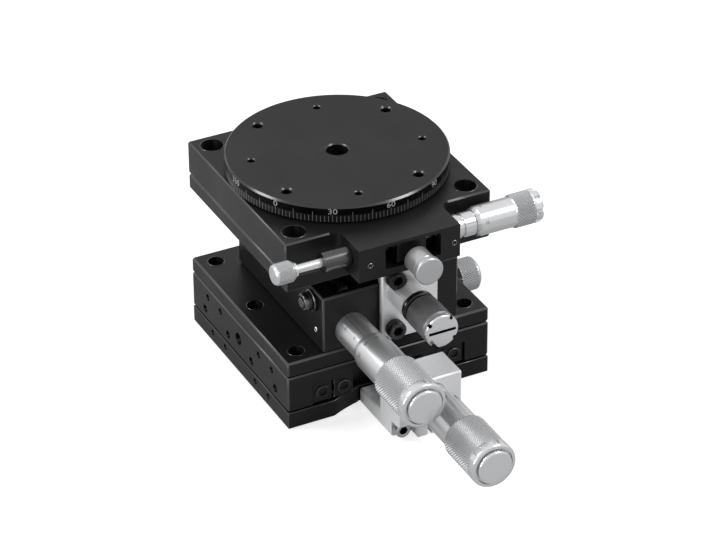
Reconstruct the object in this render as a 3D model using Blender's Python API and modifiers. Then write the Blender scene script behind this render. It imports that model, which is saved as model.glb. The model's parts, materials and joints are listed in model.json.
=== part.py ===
"""Manual positioning stage: a Y slide on crossed rollers, a Z lift worked by a bell crank, and a
rotation stage with a tangent arm. Metres, +Z up, origin at the centre of the base's underside.
The micrometers of the Y and Z stages point along -Y, the one of the rotation stage along +X."""

import math

import bmesh
import bpy
from mathutils import Matrix, Vector

# Shared sizes
STAGE_SIDE = 0.060
SEAT_GAP = 0.0003
RUN_GAP = 0.0003
FIT_GAP = 0.00015
CUT_OVERRUN = 0.001
PLATE_BEVEL = 0.0005
BLOCK_BEVEL = 0.0004
ROUND_SIDES = 24
SMALL_SIDES = 14
HOLE_SIDES = 12
BORE_SIDES = 36
DISC_SIDES = 56
FILLET_STEPS = 4

# Crossed-roller guides
ROLLER_RADIUS = 0.001
ROLLER_CLEARANCE = 0.00004
ROLLER_LENGTH = 0.0018
ROLLER_PITCH = 0.0032
RAIL_PAIR_GAP = 0.0006
CAGE_THICKNESS = 0.0003
CAGE_WIDTH = 0.0036

# Y stage
Y_BASE_THICKNESS = 0.0049
Y_TABLE_FLOAT = 0.0004
Y_TABLE_HEIGHT = 0.0105
Y_WEB_THICKNESS = 0.0041
Y_LEG_WIDTH_SHARE = 0.12
Y_RAIL_WIDTH_SHARE = 0.095
Y_RAIL_LIFT = 0.0001
Y_RAIL_RECESS = 0.001
Y_ROLLER_COUNT = 8
Y_RELIEF_RADIUS = 0.0425
Y_RELIEF_HALF_WIDTH = 0.0184
Y_SEAT_DEPTH = 0.0033
Y_SEAT_SIDE_GAP = 0.0005
Y_RIB_SETBACK = 0.0050
Y_CHANNEL_WIDTH = 0.0086
Y_CHANNEL_FLOOR = 0.0003
Y_CHANNEL_REAR_WALL = 0.0080

# Y micrometer bracket and head
Y_AXIS_X = 0.0020
Y_AXIS_LIFT = 0.0063
BRACKET_WIDTH = 0.0188
BRACKET_ABOVE_AXIS = 0.0058
BRACKET_STAND_OFF = 0.0086
BRACKET_DEPTH = 0.0107
BRACKET_FOOT_HEIGHT = 0.0045
BRACKET_POCKET_WIDTH = 0.0060
BRACKET_POCKET_HEIGHT = 0.0050
BRACKET_POCKET_DEPTH = 0.0040
BRACKET_SCREW_INSET = 0.0024
BRACKET_SCREW_Z = 0.0024
BRACKET_SCREW_RADIUS = 0.0013
BRACKET_SCREW_HEAD_RADIUS = 0.0021
BRACKET_SCREW_HEAD_LENGTH = 0.0022
BRACKET_SCREW_REACH = 0.0080
Y_THIMBLE_STAND_OFF = 0.0027
ANVIL_HEAD_RADIUS = 0.0025
ANVIL_HEAD_LENGTH = 0.0012
ANVIL_STAND_OUT = 0.0003
ANVIL_SHANK_RADIUS = 0.0014
ANVIL_SHANK_LENGTH = 0.0050
ANVIL_LUG_WIDTH = 0.0070
ANVIL_LUG_LENGTH = 0.0075
ANVIL_LUG_BELOW_AXIS = 0.0036

# Y return spring
Y_ROD_BELOW_AXIS = 0.0032
Y_ROD_RADIUS = 0.0010
Y_ROD_FRONT = -0.0120
Y_SPRING_LUG_REAR = -0.0004
Y_SPRING_LUG_LENGTH = 0.0030
Y_SPRING_LUG_WIDTH = 0.0072
Y_SPRING_LUG_LIFT = 0.0006
Y_SPRING_COIL_RADIUS = 0.00185
SPRING_WIRE_RADIUS = 0.00030
Y_SPRING_TURNS = 8
Y_OUTWARD_TRAVEL = 0.0024
COIL_POINTS = 8

# Y clamp on the right side
Y_CLAMP_Y = 0.0020
Y_CLAMP_LIFT = 0.0047
Y_CLAMP_PLATE_THICKNESS = 0.0030
Y_CLAMP_PLATE_LENGTH = 0.0180
Y_CLAMP_PLATE_DROP = 0.0009
Y_CLAMP_PLATE_LIFT = 0.0004
Y_CLAMP_SCREW_RADIUS = 0.0015
Y_CLAMP_KNOB_RADIUS = 0.0048
Y_CLAMP_KNOB_REACH = 0.0140
Y_CLAMP_COLLAR_RADIUS = 0.0034
Y_CLAMP_COLLAR_LENGTH = 0.0015
Y_CLAMP_DOME = 0.0016

# Side holes of the Y stage, on the left face
SIDE_SCREW_RADIUS = 0.0012
SIDE_SCREW_DEPTH = 0.0030
SIDE_SCREW_LIFT = 0.0030
SIDE_SCREW_INNER_Y = 0.0073
SIDE_SCREW_END_INSET = 0.0080
SIDE_UPPER_RADIUS = 0.0010
SIDE_UPPER_DROP = 0.0028
SIDE_UPPER_INNER_Y = 0.0120
SIDE_UPPER_END_INSET = 0.0100
SIDE_LOCK_RADIUS = 0.0018
SIDE_LOCK_Y = 0.0006
SIDE_LOCK_LIFT = 0.0055
BASE_SIDE_RADIUS = 0.0009
BASE_SIDE_DROP = 0.0019
BASE_SIDE_INNER_Y = 0.0095
BASE_SIDE_END_INSET = 0.0125

# Bolt holes through the plates
BOLT_INSET = 0.0050
BOLT_RADIUS = 0.0017
BOLT_HEAD_RADIUS = 0.0031
BOLT_HEAD_DEPTH = 0.0030

# Z stage, fixed side
Z_BASE_THICKNESS = 0.0044
Z_BASE_SINK_RADIUS = 0.0022
Z_HOUSING_X = 0.0005
Z_HOUSING_REAR_INSET = 0.0080
Z_AXIS_LIFT = 0.0056
CRANK_ARM = 0.0078
CRANK_COVER = 0.0033
Z_EAR_RISE = 0.0020
Z_SIDE_WALL = 0.0036
Z_REAR_WALL = 0.0034
Z_FRONT_DEPTH = 0.0124
Z_FRONT_WEB = 0.0030
Z_TRAVEL = 0.0025
Z_RELIEF_DEPTH = 0.0014
Z_RAIL_WIDTH = 0.0040
Z_RAIL_DEPTH = 0.0060
Z_RAIL_Y = 0.0060
Z_RAIL_DROP = 0.0004
Z_RAIL_LIFT = 0.0034
Z_ROLLER_COUNT = 4
Z_CAGE_CENTRE_LIFT = 0.0098

# Z stage, moving side
Z_CARRIAGE_WIDTH = 0.0144
Z_LIFT_SPARE = 0.0002
Z_TOP_THICKNESS = 0.0046
Z_CARRIAGE_LIFT = 0.0029
Z_CARRIAGE_REAR_GAP = 0.0026
Z_WING_WIDTH = 0.0060
Z_WING_LENGTH = 0.0082
Z_ARM_X = 0.0051
Z_ARM_WIDTH = 0.0160
Z_ARM_LIFT = 0.0018
Z_SPRING_COIL_RADIUS = 0.0015
Z_SPRING_BORE_RADIUS = 0.0023
Z_SPRING_LENGTH = 0.0132
Z_SPRING_TURNS = 7
Z_SPRING_FRONT_INSET = 0.0063
Z_SPRING_REAR_INSET = 0.0035

# Z drive: spindle, bell crank and rollers
Z_AXIS_INSET = 0.0082
CRANK_SETBACK = 0.0060
CRANK_THICKNESS = 0.0024
CRANK_BOSS_RADIUS = 0.0025
CRANK_ARM_HALF_WIDTH = 0.0011
CRANK_PIN_RADIUS = 0.0012
CRANK_PIN_END_WALL = 0.0013
CRANK_HEAD_RADIUS = 0.0026
CRANK_HEAD_LENGTH = 0.0024
CRANK_WASHER_RADIUS = 0.0031
CRANK_WASHER_THICKNESS = 0.0006
CRANK_ROLLER_RADIUS = 0.0015
CRANK_ROLLER_FACE = 0.0012
CRANK_ROLLER_PIN_RADIUS = 0.0007
CRANK_SLOT_WIDTH = 0.0072
CRANK_SLOT_FRONT_WALL = 0.0018
CRANK_SLOT_BELOW_AXIS = 0.0034

# Z clamp plate and knob
PLATE_THICKNESS = 0.0018
PLATE_LIFT = 0.0001
PLATE_OVERLAP = 0.0013
PLATE_SCREW_INSET = 0.0030
PLATE_SCREW_LIFT = 0.0023
PLATE_SCREW_DROP = 0.0022
PLATE_SCREW_RADIUS = 0.0012
PLATE_SCREW_HEAD_RADIUS = 0.0026
PLATE_SCREW_HEAD_LENGTH = 0.0026
PLATE_SCREW_REACH = 0.0060
Z_CLAMP_OFFSET = 0.0027
Z_CLAMP_BELOW_SCREW = 0.0046
Z_CLAMP_BOSS_RADIUS = 0.00455
Z_CLAMP_BOSS_REACH = 0.0110
Z_CLAMP_COLLAR_RADIUS = 0.0047
Z_CLAMP_COLLAR_LENGTH = 0.0018
Z_CLAMP_KNOB_RADIUS = 0.0048
Z_CLAMP_KNOB_REACH = 0.0250
Z_CLAMP_CAP_LENGTH = 0.0012
Z_CLAMP_SCREW_RADIUS = 0.0015
Z_CLAMP_SLOT_WIDTH = 0.0011
Z_CLAMP_SLOT_DEPTH = 0.0016
Z_CLAMP_FLUTES = 20
FLUTE_DEPTH = 0.00035
FLUTE_SHARES = ((0.0, 0), (0.45, 0), (0.6, 1), (0.85, 1))

# Micrometer heads of the Y and Z stages
HEAD_THIMBLE_RADIUS = 0.0054
HEAD_THIMBLE_WALL = 0.00055
HEAD_THIMBLE_CLEARANCE = 0.0002
HEAD_KNURL_STEP = 0.0011
HEAD_SMOOTH_LENGTH = 0.0110
HEAD_KNURL_LENGTH = 0.0180
HEAD_WEB_LENGTH = 0.0060
HEAD_SLEEVE_STOP = 0.0040
HEAD_CAP_LENGTH = 0.0037
HEAD_CAP_STEP = 0.0002
HEAD_CAP_RIM = 0.00185
HEAD_CAP_GROOVE = 0.0005
HEAD_BEVEL = 0.0006
SPINDLE_RADIUS = 0.0025
SPINDLE_TIP_CHAMFER = 0.0006
SPINDLE_END_IN_WEB = 0.0048
Z_THIMBLE_STAND_OFF = 0.0090

# Turntable
TABLE_THICKNESS = 0.00465
TABLE_CENTRE_RADIUS = 0.00275
TABLE_CENTRE_CHAMFER = 0.0006
TABLE_HOLE_INSET = 0.0050
TABLE_HOLE_RADIUS = 0.0014
TABLE_HOLE_ANGLE = math.radians(31.7)
TABLE_SMALL_INSET = 0.0067
TABLE_SMALL_RADIUS = 0.0010
TABLE_SMALL_ANGLE = math.radians(-13.0)
TABLE_EDGE_BEVEL = 0.0005
HUB_RADIUS = 0.0130
HUB_WALL = 0.0050
RETAINER_LEDGE = 0.0020
RETAINER_BORE_STEP = 0.0030
RETAINER_THICKNESS = 0.0011
RETAINER_LIFT = 0.0006

# Bearing, fine ring and tangent arm
BEARING_HEIGHT = 0.0021
BEARING_WALL = 0.0067
SHELF_LEDGE = 0.0025
SHELF_THICKNESS = 0.0008
RING_WALL = 0.0047
RING_SIDE_GAP = 0.0006
RING_LIFT = 0.0020
RING_HEIGHT = 0.0041
ARM_X = 0.0010
ARM_WIDTH = 0.0084
ARM_END_WALL = 0.0010
ARM_CLEARANCE = 0.0004
TANGENT_STAND_OFF = 0.0055
THETA_TRAVEL = 0.0031

# Rotation stage body
LUG_HALF_WIDTH = 0.0147
LUG_WALL = 0.0060
LUG_ROOT = 0.0020
WINDOW_LIFT = 0.0020
WINDOW_ROOF = 0.0010
WINDOW_SIDE_GAP = 0.0003
WINDOW_BACK_WALL = 0.0015

# Clamp of the rotation stage
THETA_CLAMP_X = 0.0013
THETA_CLAMP_LIFT = 0.0037
THETA_CLAMP_SCREW_RADIUS = 0.00125
THETA_CLAMP_BARREL_RADIUS = 0.0035
THETA_CLAMP_DISC_RADIUS = 0.0039
THETA_CLAMP_DISC_LENGTH = 0.0022
THETA_CLAMP_STAND_OFF = 0.0005
THETA_CLAMP_LENGTH = 0.0083
BRAKE_SHOE_RADIUS = 0.00115
BRAKE_SHOE_LENGTH = 0.0022

# Micrometer of the rotation stage
THETA_AXIS_LIFT = 0.0050
THETA_SLEEVE_RADIUS = 0.0033
THETA_SHANK_STEP = 0.0007
THETA_SHANK_LENGTH = 0.0050
THETA_SLEEVE_GROOVE = 0.0004
THETA_SLEEVE_GROOVE_START = 0.0020
THETA_SLEEVE_GROOVE_LENGTH = 0.0010
THETA_THIMBLE_STAND_OFF = 0.0067
THETA_THIMBLE_STEP = 0.0008
THETA_SMOOTH_LENGTH = 0.0115
THETA_KNURL_STEP = 0.0005
THETA_KNURL_LENGTH = 0.0078
THETA_WEB_LENGTH = 0.0040
THETA_SLEEVE_STOP = 0.0045
THETA_SPINDLE_RADIUS = 0.0013
THETA_END_NOTCHES = 8
THETA_NOTCH_WIDTH = 0.0010
THETA_NOTCH_DEPTH = 0.0007

# Spring plunger opposite the small micrometer
PLUNGER_LIFT = 0.0053
PLUNGER_BARREL_RADIUS = 0.00275
PLUNGER_SHANK_STEP = 0.0004
PLUNGER_SHANK_LENGTH = 0.0052
PLUNGER_BARREL_LENGTH = 0.0077
PLUNGER_END_WALL = 0.0014
PLUNGER_BORE_RADIUS = 0.00185
PLUNGER_ROD_RADIUS = 0.0012
PLUNGER_COLLAR_RADIUS = 0.0016
PLUNGER_COLLAR_LENGTH = 0.0008
PLUNGER_COLLAR_INSET = 0.0047
PLUNGER_KNOB_STAND_OFF = 0.0073
PLUNGER_KNOB_LENGTH = 0.0065
PLUNGER_KNOB_RADIUS = 0.0029
PLUNGER_KNOB_BEVEL = 0.0005
PLUNGER_SPRING_COIL_RADIUS = 0.00156
PLUNGER_WIRE_RADIUS = 0.00018
PLUNGER_SPRING_TURNS = 6

# Places worked out from the driving sizes, first of the whole and the Y stage
HALF_SIDE = STAGE_SIDE / 2
FRONT = -HALF_SIDE
BOLT_OFFSET = HALF_SIDE - BOLT_INSET
Y_LEG_WIDTH = STAGE_SIDE * Y_LEG_WIDTH_SHARE
Y_RAIL_WIDTH = STAGE_SIDE * Y_RAIL_WIDTH_SHARE
Y_RAIL_HEIGHT = Y_TABLE_HEIGHT - Y_WEB_THICKNESS - SEAT_GAP - Y_RAIL_LIFT
Y_TABLE_BOTTOM = Y_BASE_THICKNESS + Y_TABLE_FLOAT
Y_TABLE_TOP = Y_TABLE_BOTTOM + Y_TABLE_HEIGHT
Y_WEB_UNDERSIDE = Y_TABLE_TOP - Y_WEB_THICKNESS
Y_LEG_INNER = HALF_SIDE - Y_LEG_WIDTH
Y_RAIL_TOP = Y_WEB_UNDERSIDE - SEAT_GAP
Y_RAIL_CENTRE_Z = Y_RAIL_TOP - Y_RAIL_HEIGHT / 2
Y_ROLLER_X = Y_LEG_INNER - SEAT_GAP - Y_RAIL_WIDTH - RAIL_PAIR_GAP / 2
Y_RIB_HALF_WIDTH = Y_ROLLER_X - RAIL_PAIR_GAP / 2 - Y_RAIL_WIDTH - SEAT_GAP
Y_RAIL_LENGTH = STAGE_SIDE - 2 * Y_RAIL_RECESS
Y_CHANNEL_END = HALF_SIDE - Y_CHANNEL_REAR_WALL
Y_AXIS_Z = Y_TABLE_BOTTOM + Y_AXIS_LIFT
Y_ROD_Z = Y_AXIS_Z - Y_ROD_BELOW_AXIS
Y_CLAMP_Z = Y_TABLE_BOTTOM + Y_CLAMP_LIFT
Y_CLAMP_KNOB_END = HALF_SIDE + Y_CLAMP_KNOB_REACH
SIDE_SCREW_Z = Y_TABLE_BOTTOM + SIDE_SCREW_LIFT
SIDE_UPPER_Z = Y_TABLE_TOP - SIDE_UPPER_DROP
SIDE_LOCK_Z = Y_TABLE_BOTTOM + SIDE_LOCK_LIFT
BASE_SIDE_Z = Y_BASE_THICKNESS - BASE_SIDE_DROP
BRACKET_BACK = FRONT - BRACKET_STAND_OFF
BRACKET_FRONT = BRACKET_BACK - BRACKET_DEPTH
BRACKET_HEIGHT = Y_AXIS_Z + BRACKET_ABOVE_AXIS
BRACKET_SCREW_OFFSET = BRACKET_WIDTH / 2 - BRACKET_SCREW_INSET
Y_THIMBLE_FRONT = BRACKET_FRONT - Y_THIMBLE_STAND_OFF
Y_SEAT_Y = FRONT + Y_SEAT_DEPTH
BRACKET_FOOT_BACK = Y_SEAT_Y - SEAT_GAP
POCKET_FLOOR_Y = BRACKET_FRONT + BRACKET_POCKET_DEPTH
HEAD_SLEEVE_RADIUS = HEAD_THIMBLE_RADIUS - HEAD_THIMBLE_WALL - HEAD_THIMBLE_CLEARANCE
HEAD_KNURL_RADIUS = HEAD_THIMBLE_RADIUS + HEAD_KNURL_STEP
HEAD_CAP_RADIUS = HEAD_KNURL_RADIUS - HEAD_CAP_STEP
HEAD_CAP_DISC_RADIUS = HEAD_CAP_RADIUS - HEAD_CAP_RIM

# Places of the Z stage
Z_BASE_BOTTOM = Y_TABLE_TOP + SEAT_GAP
Z_BASE_TOP = Z_BASE_BOTTOM + Z_BASE_THICKNESS
Z_HOUSING_HEIGHT = Z_AXIS_LIFT + CRANK_ARM + CRANK_COVER
Z_HOUSING_BOTTOM = Z_BASE_TOP + SEAT_GAP
Z_HOUSING_TOP = Z_HOUSING_BOTTOM + Z_HOUSING_HEIGHT
Z_HOUSING_REAR = HALF_SIDE - Z_HOUSING_REAR_INSET
Z_RAIL_LENGTH = Z_HOUSING_HEIGHT - SEAT_GAP - Z_RAIL_DROP
Z_CARRIAGE_HALF = Z_CARRIAGE_WIDTH / 2
Z_ROLLER_OFFSET = Z_CARRIAGE_HALF + SEAT_GAP + Z_RAIL_WIDTH + RAIL_PAIR_GAP / 2
Z_CAVITY_HALF = Z_ROLLER_OFFSET + RAIL_PAIR_GAP / 2 + Z_RAIL_WIDTH + SEAT_GAP
Z_CAVITY_LEFT = Z_HOUSING_X - Z_CAVITY_HALF
Z_CAVITY_RIGHT = Z_HOUSING_X + Z_CAVITY_HALF
Z_CAVITY_FRONT = FRONT + Z_FRONT_DEPTH
Z_CAVITY_REAR = Z_HOUSING_REAR - Z_REAR_WALL
Z_HOUSING_LEFT = Z_CAVITY_LEFT - Z_SIDE_WALL
Z_HOUSING_RIGHT = Z_CAVITY_RIGHT + Z_SIDE_WALL
Z_TOP_BOTTOM = Z_HOUSING_TOP + 2 * Z_TRAVEL + Z_LIFT_SPARE
Z_TOP_TOP = Z_TOP_BOTTOM + Z_TOP_THICKNESS
Z_HANG_TOP = Z_TOP_BOTTOM - SEAT_GAP
Z_CARRIAGE_FRONT = Z_CAVITY_FRONT + SEAT_GAP
Z_CARRIAGE_REAR = Z_CAVITY_REAR - Z_CARRIAGE_REAR_GAP
Z_CARRIAGE_BOTTOM = Z_HOUSING_BOTTOM + Z_CARRIAGE_LIFT
Z_SPRING_FRONT_Y = Z_CARRIAGE_FRONT + Z_SPRING_FRONT_INSET
Z_SPRING_REAR_Y = Z_CARRIAGE_REAR - Z_SPRING_REAR_INSET
Z_ARM_FRONT = FRONT + SEAT_GAP
Z_SLOT_REAR = Z_CAVITY_FRONT - Z_FRONT_WEB
Z_ARM_REAR = Z_SLOT_REAR - SEAT_GAP
Z_ARM_BOTTOM = Z_BASE_TOP + Z_ARM_LIFT
Z_SLOT_HALF = Z_ARM_WIDTH / 2 + SEAT_GAP
Z_AXIS_X = Z_HOUSING_LEFT + Z_AXIS_INSET
Z_AXIS_Z = Z_HOUSING_BOTTOM + Z_AXIS_LIFT
Z_THIMBLE_FRONT = FRONT - Z_THIMBLE_STAND_OFF
CRANK_Y = FRONT + CRANK_SETBACK
CRANK_Z = Z_AXIS_Z + CRANK_ARM
CRANK_PIN_INNER_END = Z_ARM_X - Z_SLOT_HALF - CRANK_PIN_END_WALL
CRANK_SLOT_FRONT = FRONT + CRANK_SLOT_FRONT_WALL
CRANK_SLOT_FLOOR = Z_AXIS_Z - CRANK_SLOT_BELOW_AXIS
Z_SPINDLE_TIP = CRANK_Y - CRANK_ROLLER_RADIUS - RUN_GAP
Z_WING_UNDERSIDE = CRANK_Z + CRANK_ROLLER_RADIUS + RUN_GAP
PLATE_BACK = FRONT - SEAT_GAP
PLATE_FRONT = PLATE_BACK - PLATE_THICKNESS
PLATE_BOTTOM = Z_BASE_TOP + PLATE_LIFT
PLATE_TOP = Z_TOP_BOTTOM + PLATE_OVERLAP
PLATE_SCREW_X = Z_ARM_X - Z_ARM_WIDTH / 2 + PLATE_SCREW_INSET
PLATE_SCREW_LOW = Z_ARM_BOTTOM + PLATE_SCREW_LIFT
PLATE_SCREW_HIGH = Z_HANG_TOP - PLATE_SCREW_DROP
Z_CLAMP_X = Z_ARM_X - Z_CLAMP_OFFSET
Z_CLAMP_Z = PLATE_SCREW_HIGH - Z_CLAMP_BELOW_SCREW
Z_CLAMP_BOSS_END = FRONT - Z_CLAMP_BOSS_REACH
Z_CLAMP_KNOB_END = FRONT - Z_CLAMP_KNOB_REACH

# Places of the rotation stage
RING_POCKET_HEIGHT = RING_LIFT + RING_HEIGHT
THETA_BODY_HEIGHT = RING_POCKET_HEIGHT + SHELF_THICKNESS + 2 * SEAT_GAP + BEARING_HEIGHT
THETA_BOTTOM = Z_TOP_TOP + SEAT_GAP
THETA_TOP = THETA_BOTTOM + THETA_BODY_HEIGHT
RING_POCKET_TOP = THETA_BOTTOM + RING_POCKET_HEIGHT
RING_BOTTOM = THETA_BOTTOM + RING_LIFT - SEAT_GAP
RING_INNER_RADIUS = HUB_RADIUS + RUN_GAP
RING_OUTER_RADIUS = RING_INNER_RADIUS + RING_WALL
RING_POCKET_RADIUS = RING_OUTER_RADIUS + RING_SIDE_GAP
SHELF_RADIUS = HUB_RADIUS + SHELF_LEDGE
BEARING_OUTER_RADIUS = HUB_RADIUS + RUN_GAP + BEARING_WALL
BEARING_BOTTOM = RING_POCKET_TOP + SHELF_THICKNESS + SEAT_GAP
TANGENT_RADIUS = HALF_SIDE + TANGENT_STAND_OFF
LUG_FRONT = -TANGENT_RADIUS - LUG_WALL
LUG_FILLET_RADIUS = TANGENT_STAND_OFF - THETA_SLEEVE_RADIUS + SEAT_GAP
ARM_LEFT = ARM_X - ARM_WIDTH / 2
ARM_RIGHT = ARM_X + ARM_WIDTH / 2
ARM_END = LUG_FRONT + ARM_END_WALL
ARM_END_TRAVEL = THETA_TRAVEL * ARM_END / -TANGENT_RADIUS
WINDOW_HEIGHT = THETA_BODY_HEIGHT - WINDOW_LIFT - WINDOW_ROOF
WINDOW_LEFT = ARM_LEFT - ARM_END_TRAVEL - WINDOW_SIDE_GAP
WINDOW_RIGHT = ARM_RIGHT + ARM_END_TRAVEL + WINDOW_SIDE_GAP
WINDOW_BACK = -BEARING_OUTER_RADIUS - SEAT_GAP - WINDOW_BACK_WALL
WINDOW_BOTTOM = THETA_BOTTOM + WINDOW_LIFT
ARM_BOTTOM = WINDOW_BOTTOM + ARM_CLEARANCE
ARM_HEIGHT = WINDOW_HEIGHT - 2 * ARM_CLEARANCE
HUB_BORE_RADIUS = HUB_RADIUS - HUB_WALL
HUB_BOTTOM = THETA_BOTTOM + RETAINER_LIFT + RETAINER_THICKNESS
TABLE_RADIUS = HALF_SIDE
TABLE_BOTTOM = THETA_TOP + SEAT_GAP
TABLE_TOP = TABLE_BOTTOM + TABLE_THICKNESS
TABLE_HOLE_CIRCLE = TABLE_RADIUS - TABLE_HOLE_INSET
TABLE_SMALL_CIRCLE = TABLE_RADIUS - TABLE_SMALL_INSET
RETAINER_RADIUS = HUB_RADIUS + RETAINER_LEDGE
RETAINER_BORE_RADIUS = HUB_BORE_RADIUS - RETAINER_BORE_STEP
THETA_CLAMP_Z = THETA_BOTTOM + THETA_CLAMP_LIFT
THETA_CLAMP_START = LUG_FRONT - THETA_CLAMP_STAND_OFF
THETA_AXIS_Z = THETA_BOTTOM + THETA_AXIS_LIFT
THETA_SHANK_RADIUS = THETA_SLEEVE_RADIUS - THETA_SHANK_STEP
THETA_THIMBLE_RADIUS = THETA_SLEEVE_RADIUS + THETA_THIMBLE_STEP
THETA_KNURL_RADIUS = THETA_THIMBLE_RADIUS + THETA_KNURL_STEP
THETA_THIMBLE_START = LUG_HALF_WIDTH + THETA_THIMBLE_STAND_OFF
THETA_KNURL_START = THETA_THIMBLE_START + THETA_SMOOTH_LENGTH
THETA_KNURL_END = THETA_KNURL_START + THETA_KNURL_LENGTH
PLUNGER_Z = THETA_BOTTOM + PLUNGER_LIFT
PLUNGER_SHANK_RADIUS = PLUNGER_BARREL_RADIUS - PLUNGER_SHANK_STEP
PLUNGER_BARREL_END = -LUG_HALF_WIDTH - PLUNGER_BARREL_LENGTH
PLUNGER_COLLAR_START = -LUG_HALF_WIDTH + PLUNGER_COLLAR_INSET
PLUNGER_KNOB_START = PLUNGER_BARREL_END - PLUNGER_KNOB_STAND_OFF
PLUNGER_KNOB_END = PLUNGER_KNOB_START - PLUNGER_KNOB_LENGTH

X_AXIS = Vector((1, 0, 0))
Y_AXIS = Vector((0, 1, 0))
Z_AXIS = Vector((0, 0, 1))


# Scene and materials

def clear_scene():
    for old in list(bpy.data.objects):
        bpy.data.objects.remove(old, do_unlink=True)


def new_collection(name):
    made = bpy.data.collections.new(name)
    bpy.context.scene.collection.children.link(made)
    return made


def material(name, colour, roughness, metallic):
    made = bpy.data.materials.new(name)
    made.use_nodes = True
    shader = made.node_tree.nodes["Principled BSDF"]
    shader.inputs["Base Color"].default_value = (*colour, 1)
    shader.inputs["Roughness"].default_value = roughness
    shader.inputs["Metallic"].default_value = metallic
    return made


clear_scene()
PARTS = new_collection("positioning_stage")
CUTTERS = new_collection("cutters")
BLACK = material("black_anodised", (0.025, 0.026, 0.028), 0.42, 0.35)
SILVER = material("satin_aluminium", (0.78, 0.79, 0.80), 0.30, 1.0)
STEEL = material("ground_steel", (0.60, 0.61, 0.62), 0.25, 1.0)
OXIDE = material("black_oxide", (0.03, 0.03, 0.032), 0.35, 0.8)
GREY = material("grey_anodised", (0.16, 0.16, 0.17), 0.40, 0.6)
BRASS = material("brass", (0.75, 0.55, 0.25), 0.30, 1.0)


# Making shapes

def register(name, mesh, look, angle=math.radians(35)):
    """Puts a mesh into the scene as a named part."""
    made = bpy.data.objects.new(name, mesh)
    mesh.materials.append(look)
    PARTS.objects.link(made)
    mesh.shade_smooth()
    mesh.set_sharp_from_angle(angle=angle)
    return made


def as_cutter(made):
    PARTS.objects.unlink(made)
    CUTTERS.objects.link(made)
    made.hide_render = True
    made.display_type = "WIRE"
    return made


def box(name, low, high, look, bevel=0):
    """A box between two corners, its origin at its centre."""
    low = Vector(low)
    high = Vector(high)
    work = bmesh.new()
    bmesh.ops.create_cube(work, size=1)
    bmesh.ops.scale(work, vec=high - low, verts=work.verts)
    mesh = bpy.data.meshes.new(name)
    work.to_mesh(mesh)
    work.free()
    made = register(name, mesh, look)
    made.location = (low + high) / 2
    if bevel:
        soften(made, bevel)
    return made


def soften(target, width):
    rounded = target.modifiers.new("edge bevel", "BEVEL")
    rounded.width = width
    rounded.segments = 1
    rounded.limit_method = "ANGLE"
    rounded.angle_limit = math.radians(50)
    rounded.use_clamp_overlap = True


def turned(name, profile, start, axis, look, closed=False, sides=ROUND_SIDES):
    """A turned piece. The profile holds (radius, height along the axis), top to bottom outside."""
    mesh = bpy.data.meshes.new(name)
    points = [(radius, 0, height) for radius, height in profile]
    edges = [(i, i + 1) for i in range(len(points) - 1)]
    if closed:
        edges.append((len(points) - 1, 0))
    mesh.from_pydata(points, edges, [])
    made = register(name, mesh, look)
    made.location = start
    made.rotation_mode = "QUATERNION"
    made.rotation_quaternion = Vector(axis).to_track_quat("Z", "Y")
    screw = made.modifiers.new("turn", "SCREW")
    screw.angle = math.tau
    screw.steps = sides
    screw.render_steps = sides
    screw.use_merge_vertices = True
    screw.merge_threshold = 0.00001
    screw.use_smooth_shade = True
    return made


def ring(name, outer, inner, start, axis, length, look, sides=ROUND_SIDES):
    profile = [(outer, length), (outer, 0), (inner, 0), (inner, length)]
    return turned(name, profile, start, axis, look, closed=True, sides=sides)


def cylinder_mesh(name, radius, length, sides):
    work = bmesh.new()
    bmesh.ops.create_cone(work, cap_ends=True, segments=sides, radius1=radius, radius2=radius,
                          depth=length)
    mesh = bpy.data.meshes.new(name)
    work.to_mesh(mesh)
    work.free()
    return mesh


def cylinder(name, start, end, radius, look, sides=ROUND_SIDES):
    """A plain cylinder between two points."""
    start = Vector(start)
    end = Vector(end)
    made = register(name, cylinder_mesh(name, radius, (end - start).length, sides), look)
    made.location = (start + end) / 2
    made.rotation_mode = "QUATERNION"
    made.rotation_quaternion = (end - start).to_track_quat("Z", "Y")
    return made


def plate(name, outline, centre, thickness, axis, look, bevel=0):
    """A flat outline with a thickness, as a mesh. The outline lies square to the axis."""
    curve = bpy.data.curves.new(name, "CURVE")
    curve.dimensions = "2D"
    curve.fill_mode = "BOTH"
    curve.extrude = thickness / 2
    spline = curve.splines.new("POLY")
    spline.points.add(len(outline) - 1)
    for point, (u, v) in zip(spline.points, outline):
        point.co = (u, v, 0, 1)
    spline.use_cyclic_u = True
    guide = bpy.data.objects.new(name + " outline", curve)
    PARTS.objects.link(guide)
    turns = {
        "X": Matrix(((0, 0, 1), (1, 0, 0), (0, 1, 0))),
        "Y": Matrix(((1, 0, 0), (0, 0, -1), (0, 1, 0))),
        "Z": Matrix.Identity(3),
    }
    guide.matrix_world = Matrix.Translation(centre) @ turns[axis].to_4x4()
    bpy.context.view_layer.update()
    graph = bpy.context.evaluated_depsgraph_get()
    mesh = bpy.data.meshes.new_from_object(guide.evaluated_get(graph))
    work = bmesh.new()
    work.from_mesh(mesh)
    bmesh.ops.remove_doubles(work, verts=work.verts, dist=0.000001)
    bmesh.ops.dissolve_limit(work, angle_limit=math.radians(1), verts=work.verts, edges=work.edges)
    bmesh.ops.recalc_face_normals(work, faces=work.faces)
    work.to_mesh(mesh)
    work.free()
    mesh.name = name
    mesh.materials.clear()
    made = register(name, mesh, look)
    made.matrix_world = guide.matrix_world
    bpy.data.objects.remove(guide)
    if bevel:
        soften(made, bevel)
    return made


def combine(target, other, operation):
    step = target.modifiers.new(operation.lower() + " " + other.name, "BOOLEAN")
    step.operation = operation
    step.solver = "EXACT"
    step.object = as_cutter(other)


def join(target, other):
    combine(target, other, "UNION")


def cut(target, other):
    combine(target, other, "DIFFERENCE")


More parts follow.
